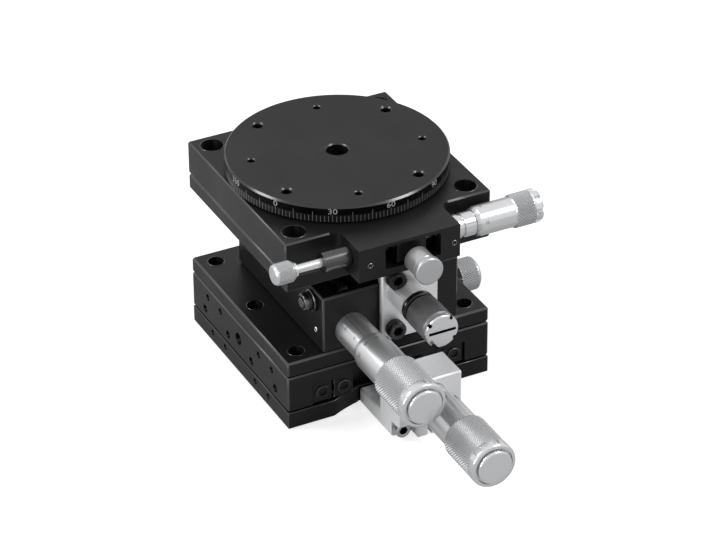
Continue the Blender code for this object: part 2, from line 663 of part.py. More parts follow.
def drill(target, start, end, radius, sides=HOLE_SIDES):
    """A round hole between two points."""
    name = target.name + " hole"
    cut(target, cylinder(name, start, end, radius, BLACK, sides))


def mill(target, low, high):
    """A square pocket between two corners."""
    cut(target, box(target.name + " pocket", low, high, BLACK))


def arc(centre, radius, start, end, steps):
    """Points along an arc, both ends included."""
    return [
        (
            centre[0] + radius * math.cos(start + (end - start) * i / steps),
            centre[1] + radius * math.sin(start + (end - start) * i / steps),
        )
        for i in range(steps + 1)
    ]


def coil(name, start, axis, length, radius, wire, turns, look):
    """One unbroken helix of round wire between two end planes."""
    curve = bpy.data.curves.new(name, "CURVE")
    curve.dimensions = "3D"
    curve.bevel_depth = wire
    curve.bevel_resolution = 1
    curve.use_fill_caps = True
    spline = curve.splines.new("POLY")
    count = turns * COIL_POINTS
    spline.points.add(count)
    rise = length - 2 * wire
    points = []
    for i, point in enumerate(spline.points):
        angle = math.tau * i / COIL_POINTS
        place = Vector((radius * math.cos(angle), radius * math.sin(angle), wire + rise * i / count))
        points.append(place)
        point.co = (*place, 1)
    made = bpy.data.objects.new(name, curve)
    curve.materials.append(look)
    PARTS.objects.link(made)
    made.location = start
    made.rotation_mode = "QUATERNION"
    made.rotation_quaternion = Vector(axis).to_track_quat("Z", "Y")
    gap = min(
        (points[i] - points[j]).length
        for i in range(count + 1)
        for j in range(i + COIL_POINTS // 2 + 1, count + 1)
    ) - 2 * wire
    print(name, "least gap between turns in millimetres:", round(1000 * gap, 3))
    return made


# Crossed-roller guides

def rail_outline(width, depth, side):
    """A rail's section with its V groove on the side that faces the rollers, +1 or -1."""
    reach = math.sqrt(2) * (ROLLER_RADIUS + ROLLER_CLEARANCE) - RAIL_PAIR_GAP / 2
    outline = [
        (-width / 2, -depth / 2),
        (width / 2, -depth / 2),
        (width / 2, -reach),
        (width / 2 - reach, 0),
        (width / 2, reach),
        (width / 2, depth / 2),
        (-width / 2, depth / 2),
    ]
    if side < 0:
        outline = [(-u, v) for u, v in reversed(outline)]
    return outline


def rail(name, width, depth, length, side, centre, axis):
    return plate(name, rail_outline(width, depth, side), centre, length, axis, STEEL)


def roller_cage(name, centre, axis, count):
    """A thin cage with its rollers, which lean left and right in turn."""
    run = (count + 1) * ROLLER_PITCH
    along = Y_AXIS if axis == "Y" else Z_AXIS
    across = Z_AXIS if axis == "Y" else Y_AXIS
    half = X_AXIS * CAGE_THICKNESS / 2 + across * CAGE_WIDTH / 2 + along * run / 2
    cage = box(name, centre - half, centre + half, BRASS)
    for i in range(count):
        lean = 1 if i % 2 else -1
        direction = (X_AXIS + lean * across).normalized() * ROLLER_LENGTH / 2
        place = centre + along * (i - (count - 1) / 2) * ROLLER_PITCH
        join(cage, cylinder(name + " roller", place - direction, place + direction,
                            ROLLER_RADIUS, STEEL, HOLE_SIDES))
    return cage


# Y stage

def mirrored_pairs(inner, outer):
    return (-outer, -inner, inner, outer)


def y_base_outline():
    """The base's square outline with its arc relief and the flat seat for the bracket's foot."""
    sagitta_y = FRONT - math.sqrt(Y_RELIEF_RADIUS**2 - Y_RELIEF_HALF_WIDTH**2)
    centre = (Y_AXIS_X, sagitta_y)
    seat_half = BRACKET_WIDTH / 2 + Y_SEAT_SIDE_GAP
    outer = math.asin(Y_RELIEF_HALF_WIDTH / Y_RELIEF_RADIUS)
    inner = math.asin(seat_half / Y_RELIEF_RADIUS)
    middle = math.pi / 2
    left = arc(centre, Y_RELIEF_RADIUS, middle + outer, middle + inner, FILLET_STEPS)
    right = arc(centre, Y_RELIEF_RADIUS, middle - inner, middle - outer, FILLET_STEPS)
    seat = [(Y_AXIS_X - seat_half, Y_SEAT_Y), (Y_AXIS_X + seat_half, Y_SEAT_Y)]
    return [(-HALF_SIDE, FRONT)] + left + seat + right + [
        (HALF_SIDE, FRONT), (HALF_SIDE, HALF_SIDE), (-HALF_SIDE, HALF_SIDE)]


def y_base_plate():
    centre = (0, 0, Y_BASE_THICKNESS / 2)
    base = plate("y_base_plate", y_base_outline(), centre, Y_BASE_THICKNESS, "Z", BLACK,
                 BLOCK_BEVEL)
    join(base, box("rib", (-Y_RIB_HALF_WIDTH, FRONT + Y_RIB_SETBACK, Y_BASE_THICKNESS / 2),
                   (Y_RIB_HALF_WIDTH, HALF_SIDE, Y_RAIL_TOP), BLACK))
    floor = Y_BASE_THICKNESS + Y_CHANNEL_FLOOR
    mill(base, (Y_AXIS_X - Y_CHANNEL_WIDTH / 2, FRONT, floor),
         (Y_AXIS_X + Y_CHANNEL_WIDTH / 2, Y_CHANNEL_END, Y_TABLE_TOP))
    drill(base, (Y_AXIS_X, Y_CHANNEL_END - CUT_OVERRUN, Y_ROD_Z),
          (Y_AXIS_X, HALF_SIDE + CUT_OVERRUN, Y_ROD_Z), Y_ROD_RADIUS + FIT_GAP)
    for side in (-1, 1):
        x = Y_AXIS_X + side * BRACKET_SCREW_OFFSET
        drill(base, (x, FRONT, BRACKET_SCREW_Z),
              (x, BRACKET_FOOT_BACK + BRACKET_SCREW_REACH + CUT_OVERRUN, BRACKET_SCREW_Z),
              BRACKET_SCREW_RADIUS + FIT_GAP)
        for front in (-1, 1):
            drill(base, (side * BOLT_OFFSET, front * BOLT_OFFSET, -CUT_OVERRUN),
                  (side * BOLT_OFFSET, front * BOLT_OFFSET, Y_BASE_THICKNESS + CUT_OVERRUN),
                  BOLT_RADIUS)
    for y in mirrored_pairs(BASE_SIDE_INNER_Y, HALF_SIDE - BASE_SIDE_END_INSET):
        drill(base, (-HALF_SIDE - CUT_OVERRUN, y, BASE_SIDE_Z),
              (-HALF_SIDE + SIDE_SCREW_DEPTH, y, BASE_SIDE_Z), BASE_SIDE_RADIUS)


def y_rails():
    offset = RAIL_PAIR_GAP / 2 + Y_RAIL_WIDTH / 2
    for side, word in ((-1, "left"), (1, "right")):
        inner = (side * (Y_ROLLER_X - offset), 0, Y_RAIL_CENTRE_Z)
        outer = (side * (Y_ROLLER_X + offset), 0, Y_RAIL_CENTRE_Z)
        rail("y_inner_rail_" + word, Y_RAIL_WIDTH, Y_RAIL_HEIGHT, Y_RAIL_LENGTH, side, inner, "Y")
        rail("y_outer_rail_" + word, Y_RAIL_WIDTH, Y_RAIL_HEIGHT, Y_RAIL_LENGTH, -side, outer, "Y")
        roller_cage("y_roller_cage_" + word, Vector((side * Y_ROLLER_X, 0, Y_RAIL_CENTRE_Z)), "Y",
                    Y_ROLLER_COUNT)


def y_table():
    """The inverted U of the Y table, with its lugs for the anvil and the spring."""
    table = box("y_table", (-HALF_SIDE, FRONT, Y_TABLE_BOTTOM), (HALF_SIDE, HALF_SIDE, Y_TABLE_TOP),
                BLACK, BLOCK_BEVEL)
    mill(table, (-Y_LEG_INNER, FRONT - CUT_OVERRUN, Y_TABLE_BOTTOM - CUT_OVERRUN),
         (Y_LEG_INNER, HALF_SIDE + CUT_OVERRUN, Y_WEB_UNDERSIDE))
    lug_front = FRONT + SEAT_GAP
    half = ANVIL_LUG_WIDTH / 2
    join(table, box("anvil lug", (Y_AXIS_X - half, lug_front, Y_AXIS_Z - ANVIL_LUG_BELOW_AXIS),
                    (Y_AXIS_X + half, lug_front + ANVIL_LUG_LENGTH, Y_WEB_UNDERSIDE + CUT_OVERRUN),
                    BLACK))
    half = Y_SPRING_LUG_WIDTH / 2
    join(table, box("spring lug",
                    (Y_AXIS_X - half, Y_SPRING_LUG_REAR - Y_SPRING_LUG_LENGTH,
                     Y_TABLE_BOTTOM + Y_SPRING_LUG_LIFT),
                    (Y_AXIS_X + half, Y_SPRING_LUG_REAR, Y_WEB_UNDERSIDE + CUT_OVERRUN), BLACK))
    drill(table, (Y_AXIS_X, Y_SPRING_LUG_REAR - Y_SPRING_LUG_LENGTH - CUT_OVERRUN, Y_ROD_Z),
          (Y_AXIS_X, Y_SPRING_LUG_REAR + CUT_OVERRUN, Y_ROD_Z), Y_ROD_RADIUS + RUN_GAP)
    seat = FRONT - ANVIL_STAND_OUT + ANVIL_HEAD_LENGTH + SEAT_GAP
    drill(table, (Y_AXIS_X, FRONT - CUT_OVERRUN, Y_AXIS_Z), (Y_AXIS_X, seat, Y_AXIS_Z),
          ANVIL_HEAD_RADIUS + SEAT_GAP, ROUND_SIDES)
    drill(table, (Y_AXIS_X, FRONT, Y_AXIS_Z),
          (Y_AXIS_X, seat + ANVIL_SHANK_LENGTH + SEAT_GAP, Y_AXIS_Z),
          ANVIL_SHANK_RADIUS + FIT_GAP)
    outside = -HALF_SIDE - CUT_OVERRUN
    bottom = -HALF_SIDE + SIDE_SCREW_DEPTH
    for y in mirrored_pairs(SIDE_SCREW_INNER_Y, HALF_SIDE - SIDE_SCREW_END_INSET):
        drill(table, (outside, y, SIDE_SCREW_Z), (bottom, y, SIDE_SCREW_Z), SIDE_SCREW_RADIUS)
    for y in mirrored_pairs(SIDE_UPPER_INNER_Y, HALF_SIDE - SIDE_UPPER_END_INSET):
        drill(table, (outside, y, SIDE_UPPER_Z), (bottom, y, SIDE_UPPER_Z), SIDE_UPPER_RADIUS)
    drill(table, (outside, SIDE_LOCK_Y, SIDE_LOCK_Z), (bottom, SIDE_LOCK_Y, SIDE_LOCK_Z),
          SIDE_LOCK_RADIUS)


def y_anvil():
    front = FRONT - ANVIL_STAND_OUT
    total = ANVIL_HEAD_LENGTH + ANVIL_SHANK_LENGTH
    profile = [
        (0, total), (ANVIL_SHANK_RADIUS, total), (ANVIL_SHANK_RADIUS, ANVIL_HEAD_LENGTH),
        (ANVIL_HEAD_RADIUS, ANVIL_HEAD_LENGTH), (ANVIL_HEAD_RADIUS, 0), (0, 0)]
    turned("y_anvil", profile, (Y_AXIS_X, front, Y_AXIS_Z), Y_AXIS, STEEL)


def y_return_spring():
    cylinder("y_spring_rod", (Y_AXIS_X, Y_ROD_FRONT, Y_ROD_Z),
             (Y_AXIS_X, HALF_SIDE - SEAT_GAP, Y_ROD_Z), Y_ROD_RADIUS, STEEL, SMALL_SIDES)
    near = Y_SPRING_LUG_REAR + Y_OUTWARD_TRAVEL + RUN_GAP
    far = Y_CHANNEL_END - SEAT_GAP
    coil("y_return_spring", (Y_AXIS_X, near, Y_ROD_Z), Y_AXIS, far - near, Y_SPRING_COIL_RADIUS,
         SPRING_WIRE_RADIUS, Y_SPRING_TURNS, STEEL)


def y_micrometer_bracket():
    """The L of the bracket: an upright that holds the head and a foot that meets the base."""
    outline = [
        (BRACKET_FRONT, 0), (BRACKET_FOOT_BACK, 0), (BRACKET_FOOT_BACK, BRACKET_FOOT_HEIGHT),
        (BRACKET_BACK, BRACKET_FOOT_HEIGHT), (BRACKET_BACK, BRACKET_HEIGHT),
        (BRACKET_FRONT, BRACKET_HEIGHT)]
    bracket = plate("y_micrometer_bracket", outline, (Y_AXIS_X, 0, 0), BRACKET_WIDTH, "X", SILVER,
                    BLOCK_BEVEL)
    drill(bracket, (Y_AXIS_X, BRACKET_FRONT - CUT_OVERRUN, Y_AXIS_Z),
          (Y_AXIS_X, BRACKET_BACK + CUT_OVERRUN, Y_AXIS_Z), HEAD_SLEEVE_RADIUS + FIT_GAP,
          ROUND_SIDES)
    for side in (-1, 1):
        edge = Y_AXIS_X + side * BRACKET_WIDTH / 2
        inner = edge - side * BRACKET_POCKET_WIDTH
        outer = edge + side * CUT_OVERRUN
        top = BRACKET_POCKET_HEIGHT
        mill(bracket, (min(inner, outer), BRACKET_FRONT - CUT_OVERRUN, -CUT_OVERRUN),
             (max(inner, outer), POCKET_FLOOR_Y, top))
        x = Y_AXIS_X + side * BRACKET_SCREW_OFFSET
        drill(bracket, (x, BRACKET_FRONT, BRACKET_SCREW_Z),
              (x, BRACKET_FOOT_BACK + CUT_OVERRUN, BRACKET_SCREW_Z),
              BRACKET_SCREW_RADIUS + FIT_GAP)


def cap_screw(name, seat, axis, head_radius, head_length, radius, reach, look):
    """A cap screw whose head stands on its seat; the axis points out of the head."""
    profile = [
        (0, head_length), (head_radius, head_length), (head_radius, 0), (radius, 0),
        (radius, -reach), (0, -reach)]
    return turned(name, profile, seat, axis, look, sides=SMALL_SIDES)


def y_bracket_screws():
    for side, word in ((-1, "left"), (1, "right")):
        seat = (Y_AXIS_X + side * BRACKET_SCREW_OFFSET, POCKET_FLOOR_Y - SEAT_GAP, BRACKET_SCREW_Z)
        reach = BRACKET_FOOT_BACK - POCKET_FLOOR_Y + BRACKET_SCREW_REACH
        cap_screw("y_bracket_screw_" + word, seat, -Y_AXIS, BRACKET_SCREW_HEAD_RADIUS,
                  BRACKET_SCREW_HEAD_LENGTH, BRACKET_SCREW_RADIUS, reach, STEEL)


def y_clamp():
    """The lock on the right: a plate on the base and a knob whose screw presses the table."""
    near = HALF_SIDE + SEAT_GAP
    far = near + Y_CLAMP_PLATE_THICKNESS
    half = Y_CLAMP_PLATE_LENGTH / 2
    holder = box("y_clamp_plate", (near, Y_CLAMP_Y - half, Y_CLAMP_PLATE_LIFT),
                 (far, Y_CLAMP_Y + half, Y_TABLE_TOP - Y_CLAMP_PLATE_DROP), BLACK, BLOCK_BEVEL)
    drill(holder, (HALF_SIDE, Y_CLAMP_Y, Y_CLAMP_Z), (far + CUT_OVERRUN, Y_CLAMP_Y, Y_CLAMP_Z),
          Y_CLAMP_SCREW_RADIUS + RUN_GAP, SMALL_SIDES)
    collar = far + SEAT_GAP - near
    grip = collar + Y_CLAMP_COLLAR_LENGTH
    end = Y_CLAMP_KNOB_END - near
    profile = [
        (0, end), (Y_CLAMP_KNOB_RADIUS - Y_CLAMP_DOME, end),
        (Y_CLAMP_KNOB_RADIUS, end - Y_CLAMP_DOME), (Y_CLAMP_KNOB_RADIUS, grip),
        (Y_CLAMP_COLLAR_RADIUS, grip), (Y_CLAMP_COLLAR_RADIUS, collar),
        (Y_CLAMP_SCREW_RADIUS, collar), (Y_CLAMP_SCREW_RADIUS, 0), (0, 0)]
    turned("y_clamp_knob", profile, (near, Y_CLAMP_Y, Y_CLAMP_Z), X_AXIS, SILVER)


# Micrometer heads

def micrometer_head(prefix, x, z, sleeve_back, thimble_front, spindle_tip):
    """Sleeve, spindle, thimble and end cap of a head that points along -Y."""
    knurl_front = thimble_front - HEAD_SMOOTH_LENGTH
    thimble_end = knurl_front - HEAD_KNURL_LENGTH
    web = thimble_end + HEAD_WEB_LENGTH
    sleeve_end = web + HEAD_SLEEVE_STOP
    ring(prefix + "_sleeve", HEAD_SLEEVE_RADIUS, SPINDLE_RADIUS + RUN_GAP, (x, sleeve_end, z),
         Y_AXIS, sleeve_back - sleeve_end, SILVER)
    tail = thimble_end + HEAD_WEB_LENGTH - SPINDLE_END_IN_WEB
    reach = spindle_tip - tail
    chamfer = SPINDLE_TIP_CHAMFER
    profile = [
        (0, reach), (SPINDLE_RADIUS - chamfer, reach), (SPINDLE_RADIUS, reach - chamfer),
        (SPINDLE_RADIUS, 0), (0, 0)]
    turned(prefix + "_spindle", profile, (x, tail, z), Y_AXIS, STEEL)
    total = thimble_front - thimble_end
    bore = HEAD_THIMBLE_RADIUS - HEAD_THIMBLE_WALL
    knurl = HEAD_KNURL_LENGTH
    profile = [
        (HEAD_THIMBLE_RADIUS, total), (HEAD_THIMBLE_RADIUS, knurl),
        (HEAD_KNURL_RADIUS - HEAD_BEVEL / 2, knurl), (HEAD_KNURL_RADIUS, knurl - HEAD_BEVEL),
        (HEAD_KNURL_RADIUS, 0), (SPINDLE_RADIUS + RUN_GAP, 0),
        (SPINDLE_RADIUS + RUN_GAP, HEAD_WEB_LENGTH), (bore, HEAD_WEB_LENGTH), (bore, total)]
    turned(prefix + "_thimble", profile, (x, thimble_end, z), Y_AXIS, SILVER, closed=True)
    near = thimble_end - SEAT_GAP
    far = HEAD_CAP_LENGTH
    groove = HEAD_CAP_GROOVE
    profile = [
        (0, far), (HEAD_CAP_DISC_RADIUS, far), (HEAD_CAP_DISC_RADIUS, far - groove),
        (HEAD_CAP_DISC_RADIUS + groove, far - groove), (HEAD_CAP_DISC_RADIUS + groove, far),
        (HEAD_CAP_RADIUS - HEAD_BEVEL, far), (HEAD_CAP_RADIUS, far - HEAD_BEVEL),
        (HEAD_CAP_RADIUS, 0), (0, 0)]
    turned(prefix + "_thimble_cap", profile, (x, near, z), -Y_AXIS, SILVER)


# Z stage, fixed side

def z_base_plate():
    base = box("z_base_plate", (-HALF_SIDE, FRONT, Z_BASE_BOTTOM), (HALF_SIDE, HALF_SIDE, Z_BASE_TOP),
               BLACK, PLATE_BEVEL)
    mill(base, (Z_ARM_X - Z_SLOT_HALF, FRONT - CUT_OVERRUN, Z_BASE_TOP - Z_RELIEF_DEPTH),
         (Z_ARM_X + Z_SLOT_HALF, Z_SLOT_REAR, Z_BASE_TOP + CUT_OVERRUN))
    for x in (-BOLT_OFFSET, BOLT_OFFSET):
        for y in (-BOLT_OFFSET, 0, BOLT_OFFSET):
            counterbore(base, x, y, Z_BASE_BOTTOM, Z_BASE_TOP, Z_BASE_SINK_RADIUS)


def counterbore(target, x, y, bottom, top, sink_radius):
    """A bolt hole through a plate, wider at the top for the bolt's head."""
    drill(target, (x, y, bottom - CUT_OVERRUN), (x, y, top + CUT_OVERRUN), BOLT_RADIUS)
    drill(target, (x, y, top - BOLT_HEAD_DEPTH), (x, y, top + CUT_OVERRUN), sink_radius,
          SMALL_SIDES)


def z_housing():
    """The fixed block: a cavity for the carriage, a slot for the crank and one for the arm."""
    housing = box("z_housing", (Z_HOUSING_LEFT, FRONT, Z_HOUSING_BOTTOM),
                  (Z_HOUSING_RIGHT, Z_HOUSING_REAR, Z_HOUSING_TOP), BLACK, PLATE_BEVEL)
    join(housing, box("ear", (Z_ARM_X + Z_SLOT_HALF, FRONT, Z_HOUSING_TOP - Z_EAR_RISE),
                      (Z_HOUSING_RIGHT, Z_SLOT_REAR, Z_HOUSING_TOP + Z_EAR_RISE), BLACK,
                      PLATE_BEVEL))
    above = Z_TOP_TOP
    below = Z_BASE_BOTTOM
    mill(housing, (Z_CAVITY_LEFT, Z_CAVITY_FRONT, below), (Z_CAVITY_RIGHT, Z_CAVITY_REAR, above))
    mill(housing, (Z_ARM_X - Z_SLOT_HALF, FRONT - CUT_OVERRUN, below),
         (Z_ARM_X + Z_SLOT_HALF, Z_SLOT_REAR, above))
    half = CRANK_SLOT_WIDTH / 2
    mill(housing, (Z_AXIS_X - half, CRANK_SLOT_FRONT, CRANK_SLOT_FLOOR),
         (Z_AXIS_X + half, Z_CAVITY_FRONT + CUT_OVERRUN, above))
    drill(housing, (Z_AXIS_X, FRONT - CUT_OVERRUN, Z_AXIS_Z),
          (Z_AXIS_X, CRANK_SLOT_FRONT + CUT_OVERRUN, Z_AXIS_Z), HEAD_SLEEVE_RADIUS + FIT_GAP,
          ROUND_SIDES)
    drill(housing, (Z_HOUSING_LEFT - CUT_OVERRUN, CRANK_Y, CRANK_Z),
          (CRANK_PIN_INNER_END + FIT_GAP, CRANK_Y, CRANK_Z), CRANK_PIN_RADIUS + FIT_GAP)


def z_rails():
    offset = RAIL_PAIR_GAP / 2 + Z_RAIL_WIDTH / 2
    fixed_z = Z_HOUSING_BOTTOM + SEAT_GAP + Z_RAIL_LENGTH / 2
    moving_z = fixed_z + Z_RAIL_LIFT
    for side, word in ((-1, "left"), (1, "right")):
        outer = (Z_HOUSING_X + side * (Z_ROLLER_OFFSET + offset), Z_RAIL_Y, fixed_z)
        inner = (Z_HOUSING_X + side * (Z_ROLLER_OFFSET - offset), Z_RAIL_Y, moving_z)
        rail("z_fixed_rail_" + word, Z_RAIL_WIDTH, Z_RAIL_DEPTH, Z_RAIL_LENGTH, -side, outer, "Z")
        rail("z_moving_rail_" + word, Z_RAIL_WIDTH, Z_RAIL_DEPTH, Z_RAIL_LENGTH, side, inner, "Z")
        centre = Vector((Z_HOUSING_X + side * Z_ROLLER_OFFSET, Z_RAIL_Y,
                         Z_HOUSING_BOTTOM + Z_CAGE_CENTRE_LIFT))
        roller_cage("z_roller_cage_" + word, centre, "Z", Z_ROLLER_COUNT)


# Z stage, moving side

def z_carriage():
    left = Z_HOUSING_X - Z_CARRIAGE_HALF
    right = Z_HOUSING_X + Z_CARRIAGE_HALF
    carriage = box("z_carriage", (left, Z_CARRIAGE_FRONT, Z_CARRIAGE_BOTTOM),
                   (right, Z_CARRIAGE_REAR, Z_HANG_TOP), BLACK, BLOCK_BEVEL)
    half = Z_WING_WIDTH / 2
    join(carriage, box("wing", (Z_AXIS_X - half, Z_CARRIAGE_FRONT, Z_WING_UNDERSIDE),
                       (left + 2 * BLOCK_BEVEL, Z_CARRIAGE_FRONT + Z_WING_LENGTH, Z_HANG_TOP),
                       BLACK))
    top = Z_HOUSING_BOTTOM + Z_SPRING_LENGTH + SEAT_GAP
    for y in (Z_SPRING_FRONT_Y, Z_SPRING_REAR_Y):
        drill(carriage, (Z_HOUSING_X, y, Z_CARRIAGE_BOTTOM - CUT_OVERRUN), (Z_HOUSING_X, y, top),
              Z_SPRING_BORE_RADIUS, SMALL_SIDES)


def z_springs():
    for y, word in ((Z_SPRING_FRONT_Y, "front"), (Z_SPRING_REAR_Y, "rear")):
        coil("z_spring_" + word, (Z_HOUSING_X, y, Z_HOUSING_BOTTOM), Z_AXIS, Z_SPRING_LENGTH,
             Z_SPRING_COIL_RADIUS, SPRING_WIRE_RADIUS, Z_SPRING_TURNS, STEEL)


def z_top_plate():
    top = box("z_top_plate", (-HALF_SIDE, FRONT, Z_TOP_BOTTOM), (HALF_SIDE, HALF_SIDE, Z_TOP_TOP),
              BLACK, PLATE_BEVEL)
    for x in (-BOLT_OFFSET, BOLT_OFFSET):
        for y in (-BOLT_OFFSET, BOLT_OFFSET):
            drill(top, (x, y, Z_TOP_BOTTOM - CUT_OVERRUN), (x, y, Z_TOP_TOP + CUT_OVERRUN),
                  BOLT_RADIUS)


def z_front_arm():
    """The block under the top plate that carries the clamp plate."""
    half = Z_ARM_WIDTH / 2
    arm = box("z_front_arm", (Z_ARM_X - half, Z_ARM_FRONT, Z_ARM_BOTTOM),
              (Z_ARM_X + half, Z_ARM_REAR, Z_HANG_TOP), BLACK, BLOCK_BEVEL)
    drill(arm, (Z_CLAMP_X, Z_ARM_FRONT - CUT_OVERRUN, Z_CLAMP_Z),
          (Z_CLAMP_X, Z_ARM_REAR + CUT_OVERRUN, Z_CLAMP_Z), Z_CLAMP_SCREW_RADIUS + RUN_GAP,
          SMALL_SIDES)
    for z in (PLATE_SCREW_LOW, PLATE_SCREW_HIGH):
        drill(arm, (PLATE_SCREW_X, Z_ARM_FRONT - CUT_OVERRUN, z),
              (PLATE_SCREW_X, PLATE_FRONT + PLATE_SCREW_REACH + SEAT_GAP, z),
              PLATE_SCREW_RADIUS + FIT_GAP)


def z_clamp_plate():
    """The silver plate on the front with the round boss that guides the clamp screw."""
    front = box("z_clamp_plate", (Z_ARM_X - Z_SLOT_HALF, PLATE_FRONT, PLATE_BOTTOM),
                (Z_ARM_X + Z_SLOT_HALF, PLATE_BACK, PLATE_TOP), SILVER, BLOCK_BEVEL)
    join(front, cylinder("boss", (Z_CLAMP_X, Z_CLAMP_BOSS_END, Z_CLAMP_Z),
                         (Z_CLAMP_X, PLATE_FRONT + PLATE_THICKNESS / 2, Z_CLAMP_Z),
                         Z_CLAMP_BOSS_RADIUS, SILVER))
    drill(front, (Z_CLAMP_X, Z_CLAMP_BOSS_END - CUT_OVERRUN, Z_CLAMP_Z),
          (Z_CLAMP_X, PLATE_BACK + CUT_OVERRUN, Z_CLAMP_Z), Z_CLAMP_SCREW_RADIUS + RUN_GAP,
          SMALL_SIDES)
    drill(front, (PLATE_SCREW_X, Z_CLAMP_BOSS_END - CUT_OVERRUN, PLATE_SCREW_HIGH),
          (PLATE_SCREW_X, PLATE_FRONT, PLATE_SCREW_HIGH), PLATE_SCREW_HEAD_RADIUS + FIT_GAP,
          ROUND_SIDES)
    for z, word in ((PLATE_SCREW_LOW, "lower"), (PLATE_SCREW_HIGH, "upper")):
        drill(front, (PLATE_SCREW_X, PLATE_FRONT - CUT_OVERRUN, z),
              (PLATE_SCREW_X, PLATE_BACK + CUT_OVERRUN, z), PLATE_SCREW_RADIUS + FIT_GAP)
        cap_screw("z_clamp_plate_screw_" + word, (PLATE_SCREW_X, PLATE_FRONT - SEAT_GAP, z),
                  -Y_AXIS, PLATE_SCREW_HEAD_RADIUS, PLATE_SCREW_HEAD_LENGTH, PLATE_SCREW_RADIUS,
                  PLATE_SCREW_REACH, OXIDE)


def fluted_outline(radius, flutes):
    points = []
    for i in range(flutes):
        for share, sunk in FLUTE_SHARES:
            angle = math.tau * (i + share) / flutes
            reach = radius - sunk * FLUTE_DEPTH
            points.append((reach * math.cos(angle), reach * math.sin(angle)))
    return points


def z_clamp_knob():
    """Black collar, fluted knob with a silver slotted face, and the clamp screw."""
    collar_far = Z_CLAMP_BOSS_END - SEAT_GAP
    collar_near = collar_far - Z_CLAMP_COLLAR_LENGTH
    ring("z_clamp_collar", Z_CLAMP_COLLAR_RADIUS, Z_CLAMP_SCREW_RADIUS + RUN_GAP,
         (Z_CLAMP_X, collar_near, Z_CLAMP_Z), Y_AXIS, Z_CLAMP_COLLAR_LENGTH, OXIDE)
    back = collar_near - SEAT_GAP
    grip_end = Z_CLAMP_KNOB_END + Z_CLAMP_CAP_LENGTH
    centre = (Z_CLAMP_X, (back + grip_end) / 2, Z_CLAMP_Z)
    knob = plate("z_clamp_knob", fluted_outline(Z_CLAMP_KNOB_RADIUS, Z_CLAMP_FLUTES), centre,
                 back - grip_end, "Y", GREY)
    join(knob, cylinder("cap", (Z_CLAMP_X, Z_CLAMP_KNOB_END, Z_CLAMP_Z),
                        (Z_CLAMP_X, grip_end + CUT_OVERRUN, Z_CLAMP_Z),
                        Z_CLAMP_KNOB_RADIUS - 2 * FLUTE_DEPTH, SILVER))
    join(knob, cylinder("screw", (Z_CLAMP_X, grip_end, Z_CLAMP_Z),
                        (Z_CLAMP_X, Z_ARM_REAR, Z_CLAMP_Z), Z_CLAMP_SCREW_RADIUS, STEEL,
                        SMALL_SIDES))
    half = Z_CLAMP_SLOT_WIDTH / 2
    mill(knob, (Z_CLAMP_X - 2 * Z_CLAMP_KNOB_RADIUS, Z_CLAMP_KNOB_END - CUT_OVERRUN,
                Z_CLAMP_Z - half),
         (Z_CLAMP_X + 2 * Z_CLAMP_KNOB_RADIUS, Z_CLAMP_KNOB_END + Z_CLAMP_SLOT_DEPTH,
          Z_CLAMP_Z + half))


# Z drive

def crank_outline():
    """The bell crank's side view: a boss with one arm down and one arm to the rear."""
    half = CRANK_ARM_HALF_WIDTH
    boss = CRANK_BOSS_RADIUS
    lean = math.asin(half / boss)
    quarter = math.pi / 2
    rear_tip = arc((CRANK_ARM, 0), half, -quarter, quarter, 6)
    around = arc((0, 0), boss, lean, 3 * quarter - lean, 12)
    lower_tip = arc((0, -CRANK_ARM), half, 2 * quarter, 4 * quarter, 6)
    inner = arc((0, 0), boss, -quarter + lean, -lean, 2)
    return rear_tip + around + lower_tip + inner


def z_lever():
    """The bell crank with a roller at the end of each arm, and its pin with head and washer."""
    lever = plate("z_lever", crank_outline(), (Z_AXIS_X, CRANK_Y, CRANK_Z), CRANK_THICKNESS, "X",
                  STEEL)
    side = X_AXIS * (CRANK_THICKNESS / 2 + CUT_OVERRUN)
    pivot = Vector((Z_AXIS_X, CRANK_Y, CRANK_Z))
    drill(lever, pivot - side, pivot + side, CRANK_PIN_RADIUS + FIT_GAP, SMALL_SIDES)
    ends = {
        "lower": pivot - Z_AXIS * CRANK_ARM,
        "upper": pivot + Y_AXIS * CRANK_ARM,
    }
    face = CRANK_THICKNESS / 2 + SEAT_GAP
    outer = face + CRANK_ROLLER_FACE
    for word, end in ends.items():
        drill(lever, end - side, end + side, CRANK_ROLLER_PIN_RADIUS + FIT_GAP)
        profile = [
            (0, outer), (CRANK_ROLLER_RADIUS, outer), (CRANK_ROLLER_RADIUS, face),
            (CRANK_ROLLER_PIN_RADIUS, face), (CRANK_ROLLER_PIN_RADIUS, -face),
            (CRANK_ROLLER_RADIUS, -face), (CRANK_ROLLER_RADIUS, -outer), (0, -outer)]
        turned("z_lever_roller_" + word, profile, end, X_AXIS, STEEL, sides=SMALL_SIDES)
    washer_x = Z_HOUSING_LEFT - SEAT_GAP
    ring("z_lever_washer", CRANK_WASHER_RADIUS, CRANK_PIN_RADIUS + FIT_GAP,
         (washer_x, CRANK_Y, CRANK_Z), -X_AXIS, CRANK_WASHER_THICKNESS, SILVER)
    seat_x = washer_x - CRANK_WASHER_THICKNESS - SEAT_GAP
    cap_screw("z_lever_pin", (seat_x, CRANK_Y, CRANK_Z), -X_AXIS, CRANK_HEAD_RADIUS,
              CRANK_HEAD_LENGTH, CRANK_PIN_RADIUS, CRANK_PIN_INNER_END - SEAT_GAP - seat_x, STEEL)


# Rotation stage

